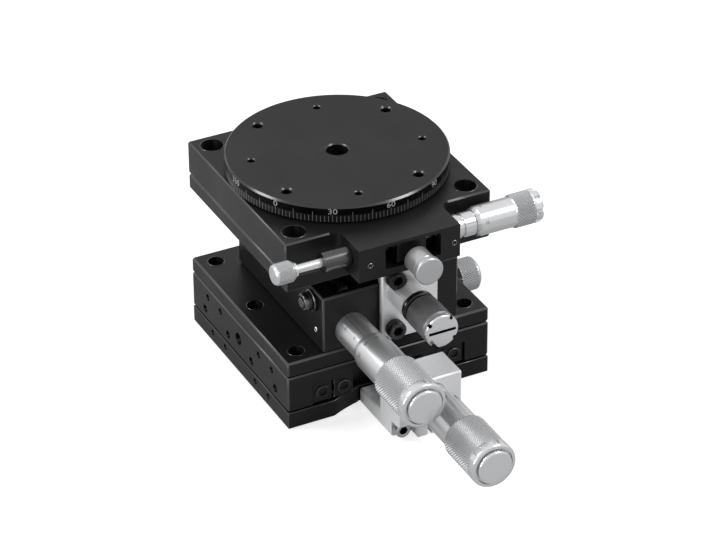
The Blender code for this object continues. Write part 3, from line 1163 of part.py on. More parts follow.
def lug_outline():
    """The lug at the front of the body, which runs in with a round inner corner on each side."""
    fillet = LUG_FILLET_RADIUS
    quarter = math.pi / 2
    root = FRONT + LUG_ROOT
    left = arc((-LUG_HALF_WIDTH - fillet, FRONT - fillet), fillet, quarter, 0, FILLET_STEPS)
    right = arc((LUG_HALF_WIDTH + fillet, FRONT - fillet), fillet, 2 * quarter, quarter,
                FILLET_STEPS)
    return (
        [(-LUG_HALF_WIDTH - fillet, root)] + left
        + [(-LUG_HALF_WIDTH, LUG_FRONT), (LUG_HALF_WIDTH, LUG_FRONT)] + right
        + [(LUG_HALF_WIDTH + fillet, root)]
    )


def theta_body():
    body = box("theta_body", (-HALF_SIDE, FRONT, THETA_BOTTOM), (HALF_SIDE, HALF_SIDE, THETA_TOP),
               BLACK, BLOCK_BEVEL)
    centre = (0, 0, THETA_BOTTOM + THETA_BODY_HEIGHT / 2)
    join(body, plate("lug", lug_outline(), centre, THETA_BODY_HEIGHT, "Z", BLACK))
    drill(body, (0, 0, THETA_BOTTOM - CUT_OVERRUN), (0, 0, RING_POCKET_TOP), RING_POCKET_RADIUS,
          BORE_SIDES)
    drill(body, (0, 0, RING_POCKET_TOP - CUT_OVERRUN), (0, 0, THETA_TOP + CUT_OVERRUN),
          SHELF_RADIUS, BORE_SIDES)
    drill(body, (0, 0, BEARING_BOTTOM - SEAT_GAP), (0, 0, THETA_TOP + CUT_OVERRUN),
          BEARING_OUTER_RADIUS + SEAT_GAP, BORE_SIDES)
    mill(body, (WINDOW_LEFT, LUG_FRONT - CUT_OVERRUN, WINDOW_BOTTOM),
         (WINDOW_RIGHT, WINDOW_BACK, WINDOW_BOTTOM + WINDOW_HEIGHT))
    mill(body, (WINDOW_LEFT, WINDOW_BACK - CUT_OVERRUN, WINDOW_BOTTOM),
         (WINDOW_RIGHT, -HUB_RADIUS, RING_POCKET_TOP - FIT_GAP))
    drill(body, (0, -TANGENT_RADIUS, THETA_AXIS_Z),
          (LUG_HALF_WIDTH + CUT_OVERRUN, -TANGENT_RADIUS, THETA_AXIS_Z),
          THETA_SHANK_RADIUS + FIT_GAP, SMALL_SIDES)
    drill(body, (-LUG_HALF_WIDTH - CUT_OVERRUN, -TANGENT_RADIUS, PLUNGER_Z),
          (0, -TANGENT_RADIUS, PLUNGER_Z), PLUNGER_SHANK_RADIUS + FIT_GAP, SMALL_SIDES)
    for x in (-BOLT_OFFSET, BOLT_OFFSET):
        for y in (-BOLT_OFFSET, BOLT_OFFSET):
            counterbore(body, x, y, THETA_BOTTOM, THETA_TOP, BOLT_HEAD_RADIUS)


def theta_bearing():
    ring("theta_bearing", BEARING_OUTER_RADIUS, RING_INNER_RADIUS, (0, 0, BEARING_BOTTOM),
         Z_AXIS, BEARING_HEIGHT, STEEL, BORE_SIDES)


def theta_fine_ring():
    """The ring round the hub with the tangent arm that reaches into the lug's window."""
    fine = ring("theta_fine_ring", RING_OUTER_RADIUS, RING_INNER_RADIUS, (0, 0, RING_BOTTOM),
                Z_AXIS, RING_HEIGHT, BLACK, BORE_SIDES)
    join(fine, box("arm", (ARM_LEFT, ARM_END, ARM_BOTTOM),
                   (ARM_RIGHT, -RING_INNER_RADIUS - RING_WALL / 2, RING_BOTTOM + RING_HEIGHT),
                   BLACK))
    join(fine, box("arm head", (ARM_LEFT, ARM_END, ARM_BOTTOM),
                   (ARM_RIGHT, WINDOW_BACK - CUT_OVERRUN, ARM_BOTTOM + ARM_HEIGHT),
                   BLACK))
    drill(fine, (THETA_CLAMP_X, ARM_END - CUT_OVERRUN, THETA_CLAMP_Z),
          (THETA_CLAMP_X, 0, THETA_CLAMP_Z), THETA_CLAMP_SCREW_RADIUS + RUN_GAP)


def theta_turntable():
    """The disc with its hub; its holes keep the turn that the disc has at rest."""
    height = TABLE_TOP - HUB_BOTTOM
    disc = height - TABLE_THICKNESS
    bevel = TABLE_EDGE_BEVEL
    neck = TABLE_CENTRE_RADIUS
    profile = [
        (neck + TABLE_CENTRE_CHAMFER, height), (TABLE_RADIUS - bevel, height),
        (TABLE_RADIUS, height - bevel), (TABLE_RADIUS, disc + bevel / 2),
        (TABLE_RADIUS - bevel / 2, disc), (HUB_RADIUS, disc), (HUB_RADIUS, 0),
        (HUB_BORE_RADIUS, 0), (HUB_BORE_RADIUS, disc), (neck, disc),
        (neck, height - TABLE_CENTRE_CHAMFER)]
    table = turned("theta_turntable", profile, (0, 0, HUB_BOTTOM), Z_AXIS, BLACK, closed=True,
                   sides=DISC_SIDES)
    rows = (
        (TABLE_HOLE_CIRCLE, TABLE_HOLE_ANGLE, TABLE_HOLE_RADIUS),
        (TABLE_SMALL_CIRCLE, TABLE_SMALL_ANGLE, TABLE_SMALL_RADIUS),
    )
    for circle, first, radius in rows:
        for i in range(4):
            angle = first + i * math.pi / 2
            place = Vector((circle * math.cos(angle), circle * math.sin(angle), TABLE_TOP))
            drill(table, place - Z_AXIS * (TABLE_THICKNESS + CUT_OVERRUN),
                  place + Z_AXIS * CUT_OVERRUN, radius)


def theta_retainer():
    ring("theta_retainer", RETAINER_RADIUS, RETAINER_BORE_RADIUS,
         (0, 0, HUB_BOTTOM - SEAT_GAP - RETAINER_THICKNESS), Z_AXIS, RETAINER_THICKNESS, STEEL)


def theta_clamp():
    """The knob whose screw runs through the arm and presses the brass shoe onto the hub."""
    hub_y = -math.sqrt(HUB_RADIUS**2 - THETA_CLAMP_X**2)
    shoe_near = hub_y - RUN_GAP
    shoe_far = shoe_near - BRAKE_SHOE_LENGTH
    cylinder("theta_brake_shoe", (THETA_CLAMP_X, shoe_far, THETA_CLAMP_Z),
             (THETA_CLAMP_X, shoe_near, THETA_CLAMP_Z), BRAKE_SHOE_RADIUS, BRASS, HOLE_SIDES)
    length = THETA_CLAMP_LENGTH
    reach = shoe_far - SEAT_GAP - THETA_CLAMP_START
    disc = THETA_CLAMP_DISC_LENGTH
    profile = [
        (0, length), (THETA_CLAMP_DISC_RADIUS - HEAD_BEVEL, length),
        (THETA_CLAMP_DISC_RADIUS, length - HEAD_BEVEL), (THETA_CLAMP_DISC_RADIUS, length - disc),
        (THETA_CLAMP_BARREL_RADIUS, length - disc), (THETA_CLAMP_BARREL_RADIUS, 0),
        (THETA_CLAMP_SCREW_RADIUS, 0), (THETA_CLAMP_SCREW_RADIUS, -reach), (0, -reach)]
    turned("theta_clamp_knob", profile, (THETA_CLAMP_X, THETA_CLAMP_START, THETA_CLAMP_Z), -Y_AXIS,
           SILVER)


def theta_micrometer():
    """The small head on the right of the lug; its spindle pushes the arm to the left."""
    y = -TANGENT_RADIUS
    shoulder = LUG_HALF_WIDTH + SEAT_GAP
    shank = THETA_SHANK_LENGTH
    web = THETA_KNURL_END - THETA_WEB_LENGTH
    length = web - THETA_SLEEVE_STOP - shoulder
    groove = THETA_SLEEVE_GROOVE_START
    groove_end = groove + THETA_SLEEVE_GROOVE_LENGTH
    deep = THETA_SLEEVE_RADIUS - THETA_SLEEVE_GROOVE
    bore = THETA_SPINDLE_RADIUS + RUN_GAP
    profile = [
        (THETA_SLEEVE_RADIUS, length), (THETA_SLEEVE_RADIUS, groove_end), (deep, groove_end),
        (deep, groove), (THETA_SLEEVE_RADIUS, groove), (THETA_SLEEVE_RADIUS, 0),
        (THETA_SHANK_RADIUS, 0), (THETA_SHANK_RADIUS, -shank), (bore, -shank), (bore, length)]
    turned("theta_sleeve", profile, (shoulder, y, THETA_AXIS_Z), X_AXIS, SILVER, closed=True)
    cylinder("theta_spindle", (ARM_RIGHT + RUN_GAP, y, THETA_AXIS_Z),
             (THETA_KNURL_END - THETA_NOTCH_DEPTH - SEAT_GAP, y, THETA_AXIS_Z),
             THETA_SPINDLE_RADIUS, STEEL, SMALL_SIDES)
    total = THETA_KNURL_END - THETA_THIMBLE_START
    knurl = THETA_KNURL_START - THETA_THIMBLE_START
    inner = THETA_SLEEVE_RADIUS + RUN_GAP
    profile = [
        (THETA_KNURL_RADIUS - HEAD_BEVEL, total), (THETA_KNURL_RADIUS, total - HEAD_BEVEL),
        (THETA_KNURL_RADIUS, knurl), (THETA_THIMBLE_RADIUS, knurl), (THETA_THIMBLE_RADIUS, 0),
        (inner, 0), (inner, total - THETA_WEB_LENGTH), (bore, total - THETA_WEB_LENGTH),
        (bore, total)]
    thimble = turned("theta_thimble", profile, (THETA_THIMBLE_START, y, THETA_AXIS_Z), X_AXIS,
                     SILVER, closed=True)
    for i in range(THETA_END_NOTCHES // 2):
        half = Vector((THETA_NOTCH_DEPTH, 2 * THETA_KNURL_RADIUS, THETA_NOTCH_WIDTH / 2))
        notch = box("notch", -half, half, BLACK)
        notch.location = (THETA_KNURL_END, y, THETA_AXIS_Z)
        notch.rotation_euler = (i * math.tau / THETA_END_NOTCHES, 0, 0)
        cut(thimble, notch)


def plunger():
    """The spring plunger that pushes the arm back onto the small spindle."""
    y = -TANGENT_RADIUS
    shoulder = -LUG_HALF_WIDTH - SEAT_GAP
    barrel = shoulder - PLUNGER_BARREL_END
    shank = PLUNGER_SHANK_LENGTH
    bore = PLUNGER_BORE_RADIUS
    hole = PLUNGER_ROD_RADIUS + RUN_GAP
    wall = barrel - PLUNGER_END_WALL
    profile = [
        (PLUNGER_BARREL_RADIUS, barrel), (PLUNGER_BARREL_RADIUS, 0), (PLUNGER_SHANK_RADIUS, 0),
        (PLUNGER_SHANK_RADIUS, -shank), (bore, -shank), (bore, wall), (hole, wall), (hole, barrel)]
    turned("plunger_barrel", profile, (shoulder, y, PLUNGER_Z), -X_AXIS, OXIDE, closed=True)
    tip = ARM_LEFT - RUN_GAP
    collar = tip - PLUNGER_COLLAR_START
    collar_end = collar + PLUNGER_COLLAR_LENGTH
    knob = tip - PLUNGER_KNOB_START
    end = tip - PLUNGER_KNOB_END
    bevel = PLUNGER_KNOB_BEVEL
    profile = [
        (0, end), (PLUNGER_KNOB_RADIUS - bevel, end), (PLUNGER_KNOB_RADIUS, end - bevel),
        (PLUNGER_KNOB_RADIUS, knob), (PLUNGER_ROD_RADIUS, knob), (PLUNGER_ROD_RADIUS, collar_end),
        (PLUNGER_COLLAR_RADIUS, collar_end), (PLUNGER_COLLAR_RADIUS, collar),
        (PLUNGER_ROD_RADIUS, collar), (PLUNGER_ROD_RADIUS, 0), (0, 0)]
    turned("plunger_rod", profile, (tip, y, PLUNGER_Z), -X_AXIS, SILVER)
    near = PLUNGER_COLLAR_START - PLUNGER_COLLAR_LENGTH - THETA_TRAVEL - RUN_GAP
    far = PLUNGER_BARREL_END + PLUNGER_END_WALL + SEAT_GAP
    coil("plunger_spring", (near, y, PLUNGER_Z), -X_AXIS, near - far, PLUNGER_SPRING_COIL_RADIUS,
         PLUNGER_WIRE_RADIUS, PLUNGER_SPRING_TURNS, STEEL)


def build():
    y_base_plate()
    y_rails()
    y_table()
    y_anvil()
    y_return_spring()
    y_micrometer_bracket()
    y_bracket_screws()
    y_clamp()
    micrometer_head("y", Y_AXIS_X, Y_AXIS_Z, BRACKET_BACK - SEAT_GAP, Y_THIMBLE_FRONT,
                    FRONT - ANVIL_STAND_OUT - RUN_GAP)
    z_base_plate()
    z_housing()
    z_rails()
    z_carriage()
    z_springs()
    z_top_plate()
    z_front_arm()
    z_clamp_plate()
    z_clamp_knob()
    z_lever()
    micrometer_head("z", Z_AXIS_X, Z_AXIS_Z, CRANK_SLOT_FRONT - SEAT_GAP, Z_THIMBLE_FRONT,
                    Z_SPINDLE_TIP)
    theta_body()
    theta_bearing()
    theta_fine_ring()
    theta_turntable()
    theta_retainer()
    theta_clamp()
    theta_micrometer()
    plunger()


build()
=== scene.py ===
"""Looks for the manual positioning stage.

The CAD's plates and blocks keep their shape and get procedural finishes. Finer pieces stand in for
the turned and knurled parts, the screws, the turntable and the two lift springs. Dial marks, small
details, the light and the photo's camera follow. Lengths are in millimetres where nothing else is
said, and the frame's own boxes are in metres.
"""

import json
import math

import bmesh
import bpy
from mathutils import Matrix, Vector


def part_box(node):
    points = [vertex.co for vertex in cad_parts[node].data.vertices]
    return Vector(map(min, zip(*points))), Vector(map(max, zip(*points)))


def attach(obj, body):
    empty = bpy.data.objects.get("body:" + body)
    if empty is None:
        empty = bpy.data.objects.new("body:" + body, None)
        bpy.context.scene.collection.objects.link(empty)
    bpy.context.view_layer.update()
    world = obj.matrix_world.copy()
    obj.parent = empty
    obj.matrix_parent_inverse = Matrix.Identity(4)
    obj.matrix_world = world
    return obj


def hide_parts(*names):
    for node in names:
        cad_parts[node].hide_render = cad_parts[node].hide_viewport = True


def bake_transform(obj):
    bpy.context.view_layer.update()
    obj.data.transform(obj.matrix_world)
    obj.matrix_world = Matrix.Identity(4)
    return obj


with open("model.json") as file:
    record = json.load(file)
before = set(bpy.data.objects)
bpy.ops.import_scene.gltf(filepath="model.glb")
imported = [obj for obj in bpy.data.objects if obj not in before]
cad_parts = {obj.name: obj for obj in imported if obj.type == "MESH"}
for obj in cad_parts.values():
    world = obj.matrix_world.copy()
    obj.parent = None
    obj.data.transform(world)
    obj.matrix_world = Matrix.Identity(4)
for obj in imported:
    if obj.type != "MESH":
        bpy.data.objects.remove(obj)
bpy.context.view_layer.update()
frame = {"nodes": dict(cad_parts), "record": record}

MM = 0.001
TURN = 2 * math.pi
UP, FRONT, LEFT, RIGHT = (0, 0, 1), (0, -1, 0), (-1, 0, 0), (1, 0, 0)
CREASE = 32         # degrees: sharper edges of a turned piece stay sharp
CAD_CREASE = 38     # degrees: the same for the CAD's own meshes
SCUFF_GREY = (0.3, 0.3, 0.31, 1)
CHAMFER_ROUGH = 0.28   # roughness of a chamfer with a painted highlight
scene = bpy.context.scene


# ---------------------------------------------------------------- materials

def node(tree, kind, inputs=(), **settings):
    """A new node. inputs maps a socket's name or number to a value, or to a socket to link."""
    made = tree.nodes.new(kind)
    for key, value in settings.items():
        setattr(made, key, value)
    for key, value in dict(inputs).items():
        socket = made.inputs[key]
        if isinstance(value, bpy.types.NodeSocket):
            tree.links.new(value, socket)
        else:
            socket.default_value = value
    return made


def maths(tree, operation, *values):
    return node(tree, "ShaderNodeMath", dict(enumerate(values)), operation=operation).outputs[0]


def mapped(tree, value, low, high, to_low, to_high):
    """The value with its range low to high stretched to the range to_low to to_high."""
    return node(tree, "ShaderNodeMapRange",
                {0: value, 1: low, 2: high, 3: to_low, 4: to_high}).outputs[0]


def mixed(tree, share, first, second):
    """Two colours, with the given share of the second."""
    return node(tree, "ShaderNodeMix", {0: share, 6: first, 7: second},
                data_type="RGBA").outputs[2]


def turning_lines(tree, place, pitch):
    """Noise that is even round local Z: rings on an end face, hoops along a barrel."""
    part = node(tree, "ShaderNodeSeparateXYZ", {0: place})
    flat = node(tree, "ShaderNodeCombineXYZ", {0: part.outputs[0], 1: part.outputs[1]})
    out = node(tree, "ShaderNodeVectorMath", {0: flat.outputs[0]}, operation="LENGTH")
    along = maths(tree, "ADD", part.outputs[2], out.outputs["Value"])
    return node(tree, "ShaderNodeTexNoise",
                {"W": along, "Scale": 1000.0 / pitch, "Detail": 3.0},
                noise_dimensions="1D").outputs["Fac"]


def slanted(tree):
    """One on chamfers, whose normal lies off every axis, and zero on faces square to an axis."""
    facing = node(tree, "ShaderNodeVectorMath",
                  {0: node(tree, "ShaderNodeNewGeometry").outputs["True Normal"]},
                  operation="ABSOLUTE")
    part = node(tree, "ShaderNodeSeparateXYZ", {0: facing.outputs[0]})
    most = maths(tree, "MAXIMUM", part.outputs[0], part.outputs[1])
    most = maths(tree, "MAXIMUM", most, part.outputs[2])
    return mapped(tree, most, 0.72, 0.8, 1.0, 0.0)


def finish(name, colour, rough, metal=0.0, ior=1.45, spread=0.05, tone=0.06, grain=0.2,
           grain_depth=1.0, lines=0.0, line_depth=0.0, sheen_lines=0.0, scuff=0.0, edge=0.0,
           turned=0.0):
    """A metal, anodised or painted finish.

    spread is how far the roughness wanders to either side, and tone how far the colour does, as a
    share of it. grain is the size of the fine bumps and lines the pitch of the turning lines, both
    in mm, with their depths in micrometres; sheen_lines is how much the lines sway the roughness.
    scuff is the strength of rare pale rubs, edge the grey of a painted highlight on chamfers
    (none at zero), and turned the anisotropy of a lathe-turned face.
    """
    made = bpy.data.materials.new(name)
    made.use_nodes = True
    tree = made.node_tree
    shader = tree.nodes["Principled BSDF"]
    shader.inputs["Metallic"].default_value = metal
    shader.inputs["IOR"].default_value = ior
    if turned:
        shader.inputs["Anisotropic"].default_value = turned
        shader.inputs["Anisotropic Rotation"].default_value = 0.25
        tangent = node(tree, "ShaderNodeTangent", direction_type="RADIAL", axis="Z")
        tree.links.new(tangent.outputs[0], shader.inputs["Tangent"])
    place = node(tree, "ShaderNodeTexCoord").outputs["Object"]
    cloud = node(tree, "ShaderNodeTexNoise",
                 {"Vector": place, "Scale": 70.0, "Detail": 4.0}).outputs["Fac"]
    height = node(tree, "ShaderNodeTexNoise",
                  {"Vector": place, "Scale": 1000.0 / grain, "Detail": 2.0,
                   "Roughness": 0.6}).outputs["Fac"]
    dark = tuple(c * (1 - tone) for c in colour) + (1,)
    light = tuple(min(1, c * (1 + tone)) for c in colour) + (1,)
    shade = mixed(tree, cloud, dark, light)
    uneven = cloud
    if lines:
        ring = turning_lines(tree, place, lines)
        height = maths(tree, "MULTIPLY_ADD", ring, line_depth / grain_depth, height)
        uneven = maths(tree, "MULTIPLY_ADD", ring, sheen_lines, uneven)
    rub = mapped(tree, uneven, 0.3, 0.7 + sheen_lines, max(0.02, rough - spread), rough + spread)
    # Chamfers get a lighter grey, a painted highlight, and a roughness of their own.
    if edge:
        chamfer_highlight = slanted(tree)
        rub = node(tree, "ShaderNodeMix", {0: chamfer_highlight, 2: rub, 3: CHAMFER_ROUGH},
                   data_type="FLOAT").outputs[0]
        shade = mixed(tree, chamfer_highlight, shade, (edge, edge, edge, 1))
    tree.links.new(rub, shader.inputs["Roughness"])
    if scuff:
        rare = node(tree, "ShaderNodeTexNoise", {"Vector": place, "Scale": 420.0, "Detail": 6.0,
                                                 "Roughness": 0.75}).outputs["Fac"]
        shade = mixed(tree, mapped(tree, rare, 0.62, 0.8, 0.0, scuff), shade, SCUFF_GREY)
    tree.links.new(shade, shader.inputs["Base Color"])
    bump = node(tree, "ShaderNodeBump", {"Height": height, "Distance": grain_depth * 1e-6,
                                         "Strength": 1.0})
    tree.links.new(bump.outputs[0], shader.inputs["Normal"])
    return made


# edge gives the black anodised chamfers a painted highlight.
BLACK = finish("black_anodised", (0.0055, 0.0056, 0.006), 0.36, ior=1.33, spread=0.05,
               tone=0.15, grain=0.16, grain_depth=7.0, scuff=0.04, edge=0.065)
DISC = finish("black_turned", (0.0055, 0.0056, 0.0058), 0.37, ior=1.33, spread=0.05, tone=0.12,
              grain=0.14, grain_depth=5.0, lines=0.5, line_depth=4.0, scuff=0.03)
BEVEL = finish("black_polished_bevel", (0.006, 0.006, 0.0065), 0.22, ior=1.55, spread=0.03,
               tone=0.15, grain=0.2, grain_depth=1.0)
BORE = finish("black_bore", (0.006, 0.006, 0.0065), 0.32, ior=1.5, spread=0.04, tone=0.15,
              grain=0.2, grain_depth=1.0)
# A darker black with a lower IOR for the dial rim's upper band: painted shade for the dark that
# band reflects.
SHADED_BAND = finish("dial_band_painted_shade", (0.002, 0.002, 0.0022), 0.34, ior=1.15, spread=0.05, tone=0.1,
              grain=0.14, grain_depth=3.0)
BARREL = finish("black_polished", (0.004, 0.004, 0.0043), 0.24, ior=1.8, spread=0.02,
                tone=0.15, grain=0.2, grain_depth=0.5)
SATIN = finish("satin_chrome", (0.66, 0.665, 0.675), 0.3, metal=0.85, ior=1.5, spread=0.04,
               tone=0.03, grain=0.3, grain_depth=1.0, lines=0.12, line_depth=1.6,
               sheen_lines=0.3, turned=0.75)
CAP = finish("satin_cap", (0.66, 0.665, 0.68), 0.18, metal=0.75, ior=1.5, spread=0.04,
             tone=0.03, grain=0.3, grain_depth=0.5, lines=0.12, line_depth=0.6)
MATTE = finish("satin_clamp", (0.46, 0.465, 0.475), 0.34, metal=0.7, ior=1.5, spread=0.05,
               tone=0.03, grain=0.3, grain_depth=1.0, lines=0.12, line_depth=1.0)
KNURL = finish("satin_knurl", (0.42, 0.425, 0.435), 0.38, metal=0.6, spread=0.05, tone=0.04,
               grain=0.2, grain_depth=2.0)
PALE = finish("pale_aluminium", (0.8, 0.805, 0.815), 0.5, metal=0.45, spread=0.05, tone=0.04,
              grain=0.14, grain_depth=5.0)
GROUND = finish("ground_steel", (0.5, 0.505, 0.51), 0.28, metal=1.0, spread=0.06, tone=0.05,
                grain=0.1, grain_depth=1.5, lines=0.15, line_depth=1.5)
CHROME = finish("bright_steel", (0.6, 0.605, 0.61), 0.18, metal=1.0, spread=0.04, tone=0.03,
                grain=0.2, grain_depth=0.6, lines=0.15, line_depth=0.8)
DARK = finish("dark_steel", (0.12, 0.122, 0.12), 0.26, metal=0.9, spread=0.05, tone=0.08,
              grain=0.12, grain_depth=1.5, lines=0.15, line_depth=1.2)
OXIDE = finish("black_oxide", (0.012, 0.012, 0.0125), 0.3, metal=0.2, ior=1.45, spread=0.06,
               tone=0.2, grain=0.12, grain_depth=3.0, scuff=0.2)
GREY = finish("grey_anodised", (0.17, 0.17, 0.175), 0.34, metal=0.6, ior=1.45, spread=0.05,
              tone=0.06, grain=0.14, grain_depth=3.0)
BRASS = finish("machined_brass", (0.72, 0.52, 0.24), 0.28, metal=1.0, spread=0.05, tone=0.05,
               grain=0.2, grain_depth=1.5, lines=0.2, line_depth=1.5)
PAINT = finish("white_paint", (0.2, 0.2, 0.198), 0.55, spread=0.05, tone=0.08, grain=0.2,
               grain_depth=2.0)
DIGITS = finish("white_digits", (0.42, 0.42, 0.415), 0.55, spread=0.05, tone=0.08, grain=0.2,
                grain_depth=2.0)
INK = finish("engraved_ink", (0.06, 0.06, 0.062), 0.6, spread=0.05, tone=0.1, grain=0.2,
             grain_depth=1.0)
# Near black with a low IOR inside sockets, slots and notches: painted shade in the recesses.
RECESS_SHADE = finish("recess_painted_shade", (0.003, 0.003, 0.0035), 0.6, ior=1.2, spread=0.05, tone=0.2,
                grain=0.2, grain_depth=4.0)

# By the record's material slots, and by CAD node where one needs a finish of its own.
SLOT_LOOKS = {"black_anodised": BLACK, "satin_aluminium": SATIN, "ground_steel": GROUND,
              "black_oxide_steel": OXIDE, "grey_anodised": GREY, "brass": BRASS}
OWN_LOOKS = {"y_micrometer_bracket": PALE, "z_clamp_plate": PALE, "plunger_barrel": BARREL}


# ------------------------------------------------------------ mesh helpers

class Shape:
    """Points and faces of one piece, in millimetres, with a material number for each face."""

    def __init__(self):
        self.points, self.faces, self.looks = [], [], []

    def add(self, points, faces, look=0):
        first = len(self.points)
        self.points += [tuple(p) for p in points]
        self.faces += [tuple(first + i for i in face) for face in faces]
        self.looks += [look] * len(faces)
        return self

    def skin(self, rings, look=0, looks=None, closed=False):
        """Quads between rings that have equal counts; a ring of one point ends in a fan."""
        starts = []
        for ring in rings:
            starts.append((len(self.points), len(ring)))
            self.points += [tuple(p) for p in ring]
        pairs = list(zip(starts, starts[1:])) + ([(starts[-1], starts[0])] if closed else [])
        for k, ((a, na), (b, nb)) in enumerate(pairs):
            count = max(na, nb)
            for i in range(count):
                j = (i + 1) % count
                if na == 1:
                    face = (a, b + j, b + i)
                elif nb == 1:
                    face = (a + i, a + j, b)
                else:
                    face = (a + i, a + j, b + j, b + i)
                self.faces.append(face)
                self.looks.append(looks[k] if looks else look)
        return self

    def lathe(self, profile, sides=96, look=0, looks=None, closed=False):
        """A profile of (radius, height) turned about Z."""
        return self.skin([circle(r, h, sides) for r, h in profile], look, looks, closed)

    def join(self, other, matrix=None):
        """Takes in another shape's faces, moved by the matrix."""
        points = [matrix @ Vector(p) for p in other.points] if matrix else other.points
        first = len(self.points)
        self.points += [tuple(p) for p in points]
        self.faces += [tuple(first + i for i in face) for face in other.faces]
        self.looks += other.looks
        return self


def circle(radius, height, sides=96):
    if radius == 0:
        return [(0, 0, height)]
    return [(radius * math.cos(TURN * i / sides), radius * math.sin(TURN * i / sides), height)
            for i in range(sides)]


def hexagon(across, height, sides=48):
    """A hexagon of the given width across its flats, with as many points as a circle's ring."""
    ring = []
    for i in range(sides):
        angle = TURN * i / sides
        near = (angle + math.pi / 6) % (math.pi / 3) - math.pi / 6
        r = across / 2 / math.cos(near)
        ring.append((r * math.cos(angle), r * math.sin(angle), height))
    return ring


def soften(outline, steps=3):
    """The outline of (radius, height[, fillet]), with the corners that have a fillet rounded."""
    out = []
    for i, spot in enumerate(outline):
        fillet = spot[2] if len(spot) > 2 else 0
        here = Vector(spot[:2])
        if not fillet:
            out.append(tuple(here))
            continue
        before = Vector(outline[i - 1][:2]) - here
        after = Vector(outline[(i + 1) % len(outline)][:2]) - here
        a, b = here + before.normalized() * fillet, here + after.normalized() * fillet
        for k in range(steps + 1):
            t = k / steps
            out.append(tuple(a * (1 - t) ** 2 + here * 2 * t * (1 - t) + b * t ** 2))
    return out


def knurl(shape, radius, depth, start, end, around, pitch, look=0):
    """Diamond knurl. Grooves cross at every even point of the grid, and odd points are peaks."""
    rows = 2 * max(1, round((end - start) / pitch))
    columns = 2 * around
    points, faces = [], []
    for i in range(rows + 1):
        for j in range(columns):
            peak = (i + j) % 2 and 0 < i < rows
            r = radius if peak else radius - depth
            angle = TURN * j / columns
            points.append((r * math.cos(angle), r * math.sin(angle),
                           start + (end - start) * i / rows))

    def at(i, j):
        return i * columns + j % columns

    for i in range(rows + 1):
        for j in range(columns):
            if (i + j) % 2 == 0:
                continue
            if i < rows:
                faces += [(at(i, j), at(i, j + 1), at(i + 1, j)),
                          (at(i, j), at(i + 1, j), at(i, j - 1))]
            if i > 0:
                faces += [(at(i, j), at(i, j - 1), at(i - 1, j)),
                          (at(i, j), at(i - 1, j), at(i, j + 1))]
    return shape.add(points, faces, look)


def ribbed(radius, depth, height, count, crest=0.45, sides_each=6):
    """A ring with straight ribs: crest is the share of each pitch that stands at full radius."""
    ring = []
    for i in range(count * sides_each):
        share = (i % sides_each) / sides_each
        r = radius if share < crest else radius - depth
        angle = TURN * i / (count * sides_each)
        ring.append((r * math.cos(angle), r * math.sin(angle), height))
    return ring


def axis_frame(origin, axis, up=UP):
    """Local Z along axis and local X towards up, at a point in millimetres."""
    z = Vector(axis).normalized()
    x = Vector(up) - z * z.dot(Vector(up))
    x.normalize()
    matrix = Matrix((x, z.cross(x), z)).transposed().to_4x4()
    matrix.translation = Vector(origin)
    return matrix


def in_metres(matrix):
    """The same matrix with its place in metres."""
    out = matrix.copy()
    out.translation = matrix.translation * MM
    return out


def piece(name, shape, looks, body, matrix=None, smooth=CREASE, stands_for=()):
    """A visible piece made from a shape. It rides on its body, if one is given, and takes the
    place of the CAD nodes that it stands for."""
    mesh = bpy.data.meshes.new(name)
    mesh.from_pydata([Vector(p) * MM for p in shape.points], [], shape.faces)
    for look in looks:
        mesh.materials.append(look)
    mesh.polygons.foreach_set("material_index", shape.looks)
    work = bmesh.new()
    work.from_mesh(mesh)
    bmesh.ops.remove_doubles(work, verts=work.verts, dist=1e-7)
    bmesh.ops.recalc_face_normals(work, faces=work.faces)
    work.to_mesh(mesh)
    work.free()
    mesh.polygons.foreach_set("use_smooth", [True] * len(mesh.polygons))
    mesh.set_sharp_from_angle(angle=math.radians(smooth))
    made = bpy.data.objects.new(name, mesh)
    scene.collection.objects.link(made)
    if matrix:
        made.matrix_world = in_metres(matrix)
    if body:
        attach(made, body)
    if stands_for:
        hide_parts(*stands_for)
    return made


def cut(target, shapes, look):
    """Takes the given (shape, matrix) solids out of a piece; the cut faces get the look."""
    tool = Shape()
    for shape, matrix in shapes:
        tool.join(shape, matrix)
    mesh = bpy.data.meshes.new("cutter")
    mesh.from_pydata([Vector(p) * MM for p in tool.points], [], tool.faces)
    mesh.materials.append(look)
    work = bmesh.new()
    work.from_mesh(mesh)
    bmesh.ops.recalc_face_normals(work, faces=work.faces)
    work.to_mesh(mesh)
    work.free()
    cutter = bpy.data.objects.new("cutter", mesh)
    scene.collection.objects.link(cutter)
    cutter.matrix_world = target.matrix_world
    change = target.modifiers.new("holes", "BOOLEAN")
    change.operation, change.solver, change.object = "DIFFERENCE", "EXACT", cutter
    change.material_mode = "TRANSFER"
    bpy.context.view_layer.update()
    graph = bpy.context.evaluated_depsgraph_get()
    done = bpy.data.meshes.new_from_object(target.evaluated_get(graph))
    target.modifiers.clear()
    target.data = done
    bpy.data.objects.remove(cutter)
    done.polygons.foreach_set("use_smooth", [True] * len(done.polygons))
    done.set_sharp_from_angle(angle=math.radians(CREASE))


glyph_store = {}


def glyphs(text, size):
    """Flat digits centred on zero, as (points, faces) in millimetres."""
    if (text, size) not in glyph_store:
        curve = bpy.data.curves.new("digits", "FONT")
        curve.body, curve.size = text, size
        curve.align_x, curve.align_y = "CENTER", "CENTER"
        curve.resolution_u = 3
        made = bpy.data.objects.new("digits", curve)
        scene.collection.objects.link(made)
        bpy.context.view_layer.update()
        graph = bpy.context.evaluated_depsgraph_get()
        mesh = bpy.data.meshes.new_from_object(made.evaluated_get(graph))
        glyph_store[text, size] = ([tuple(v.co) for v in mesh.vertices],
                                   [tuple(p.vertices) for p in mesh.polygons])
        bpy.data.objects.remove(made)
    return glyph_store[text, size]


